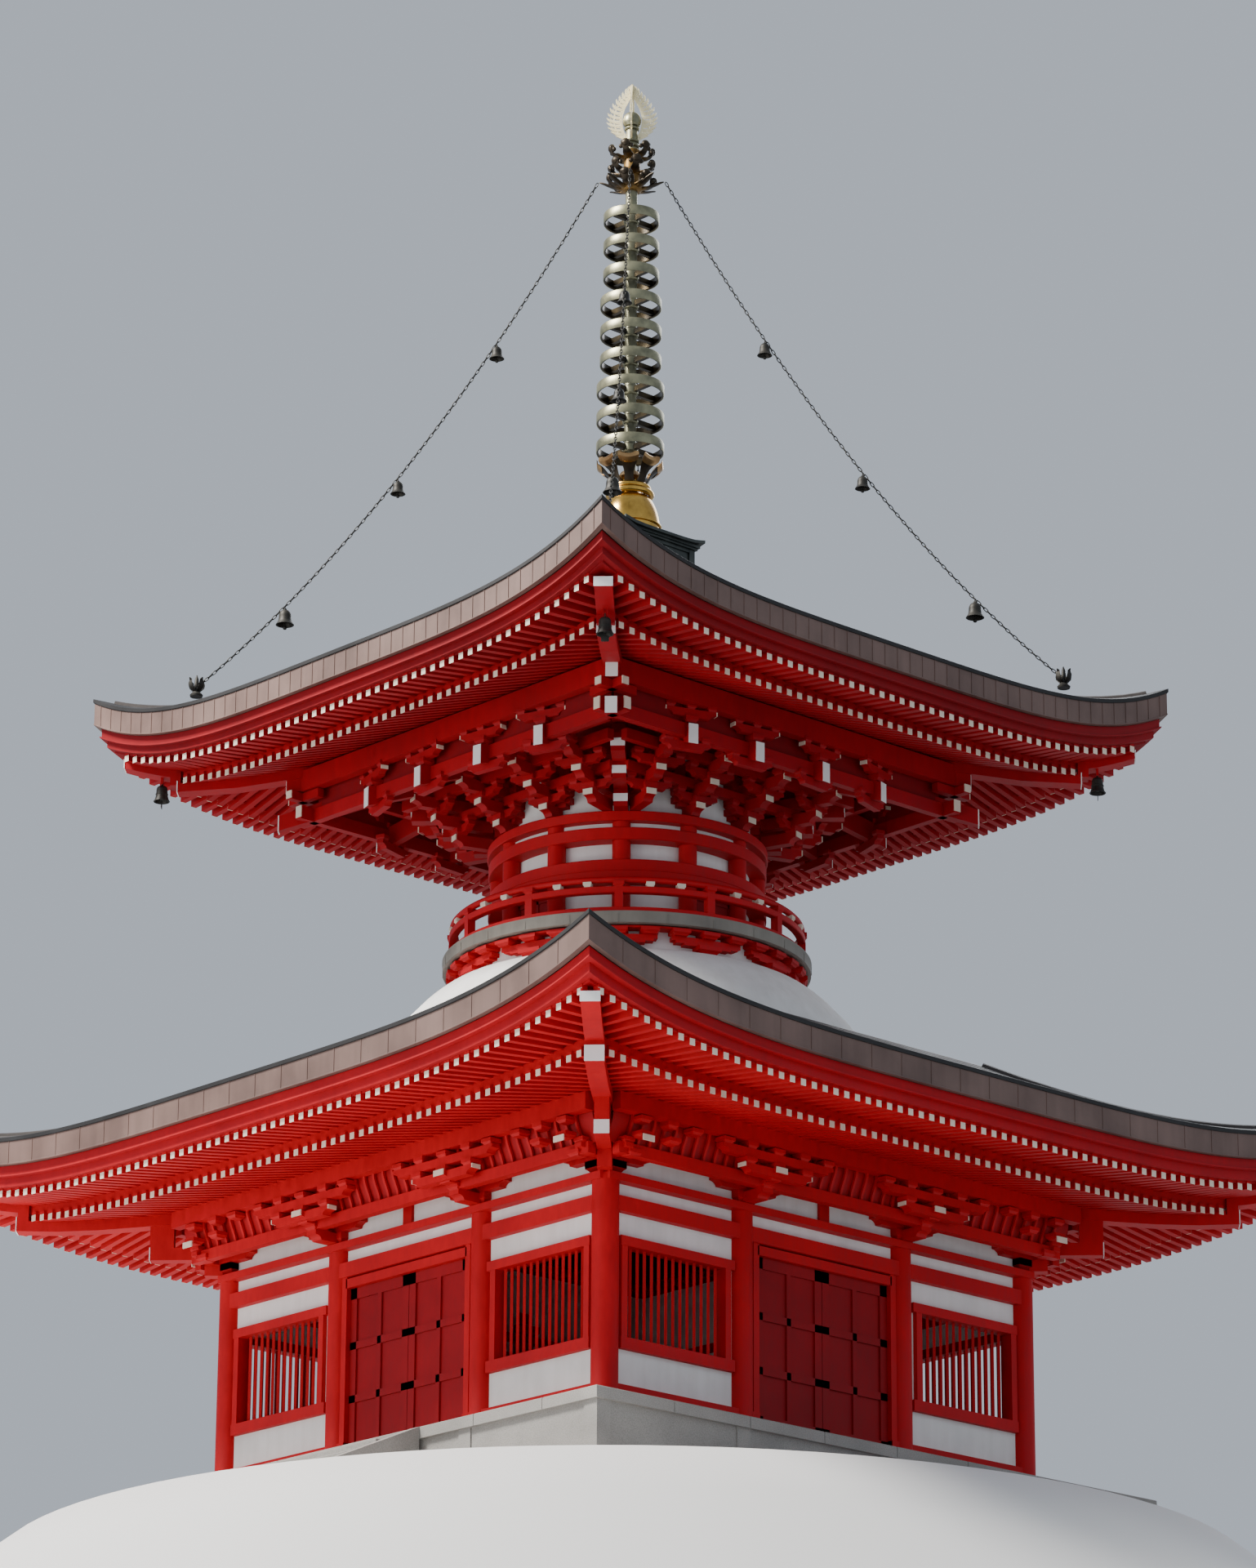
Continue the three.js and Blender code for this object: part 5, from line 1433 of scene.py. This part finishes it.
stoneSet = {"core": (-3.95, 3.95, -3.95, 3.95, 0.0, 0.72), "joint": 0.004, "half": 4.0, "slabs": 8,
            "footOut": (3.90, 3.985), "footStart": -3.896, "footSpan": (0.0, 0.15),
            "capIn": 3.2, "capSpan": (0.68, 0.80),
            "fieldSpan": (0.70, 0.8), "fieldSlabs": 7, "fieldEase": 0.004,
            "postOut": (3.90, 3.965), "postHalf": 0.09, "posts": [-2.0, 0.0, 2.0], "postSpan": (0.15, 0.68),
            "cornerPost": (3.78, 3.966)}


def spansOf(start, end, count):
    # a stretch cut into equal spans
    edges = np.linspace(start, end, count + 1)
    return list(zip(edges[:-1], edges[1:]))


def makePlatform(s):
    # foot course, posts and cap slabs round an earth core, and paving inside the cap slabs
    joint, half, capIn = s["joint"], s["half"], s["capIn"]
    # the foot course stops where the next side's course passes the corner
    start, end = s["footStart"], s["footOut"][1]
    ring = [(*s["footOut"], max(a + joint, start), end if b == half else b - joint, *s["footSpan"])
            for a, b in spansOf(-half, half, s["slabs"])]
    # cap slabs run from one corner up to the side of the next corner's slab
    ring += [(capIn + joint, half, a if a == -half else a + joint, b - joint, *s["capSpan"])
             for a, b in spansOf(-half, capIn, s["slabs"] - 1)]
    posts = [(*s["postOut"], v - s["postHalf"], v + s["postHalf"], *s["postSpan"]) for v in s["posts"]]
    posts.append((*s["cornerPost"], *s["cornerPost"], *s["postSpan"]))
    field = spansOf(-capIn, capIn, s["fieldSlabs"])
    paving = [(a + joint, b - joint, c + joint, d - joint, *s["fieldSpan"])
              for a, b in field for c, d in field]
    parts = boxParts([s["core"]]) + turnParts(easedSlabs(ring) + boxParts(posts), allTurns)
    parts += easedSlabs(paving, s["fieldEase"])
    buildPiece("platform_masonry", parts, greyStone, ["stone_platform"])


stepSet = {"back": 4.0005, "front": 5.40, "going": 0.32, "rise": 0.16, "lap": 0.02, "treads": 4, "half": 1.2,
           "cheekOuter": 1.35, "cheek": [(4.0005, 0.0), (5.40, 0.0), (5.40, 0.19), (4.0005, 0.80)]}


def makeSteps(s):
    # treads, each one going shorter and one rise higher than the last, between two sloping cheeks
    steps = easedSlabs([(s["back"], s["front"] - s["going"] * k, -s["half"], s["half"],
                         max(0, s["rise"] * k - s["lap"]), s["rise"] * (k + 1)) for k in range(s["treads"])])
    for side in (-1, 1):
        steps.append(prism(s["cheek"], *sorted((side * s["half"], side * s["cheekOuter"]))))
    buildPiece("front_stone_steps", turnParts(steps, [sideTurns["front"]]), greyStone,
               ["front_steps"])


makeLowerWalls(wallSet)
makePlatform(stoneSet)
makeSteps(stepSet)
print("lower storey ready")

# the floor and the hip timbers stay the frame's own nodes and take only the finishes
ownFinishes = {"lower_floor": plankFloor}
ownFinishes.update({"lower_hip_" + corner: litRedPaint for corner in cornerTurns})
ownFinishes.update({"upper_hip_" + corner: redPaint for corner in cornerTurns})
for node, finish in ownFinishes.items():
    mesh = bpy.data.objects[node].data
    mesh.materials.clear()
    mesh.materials.append(finish)
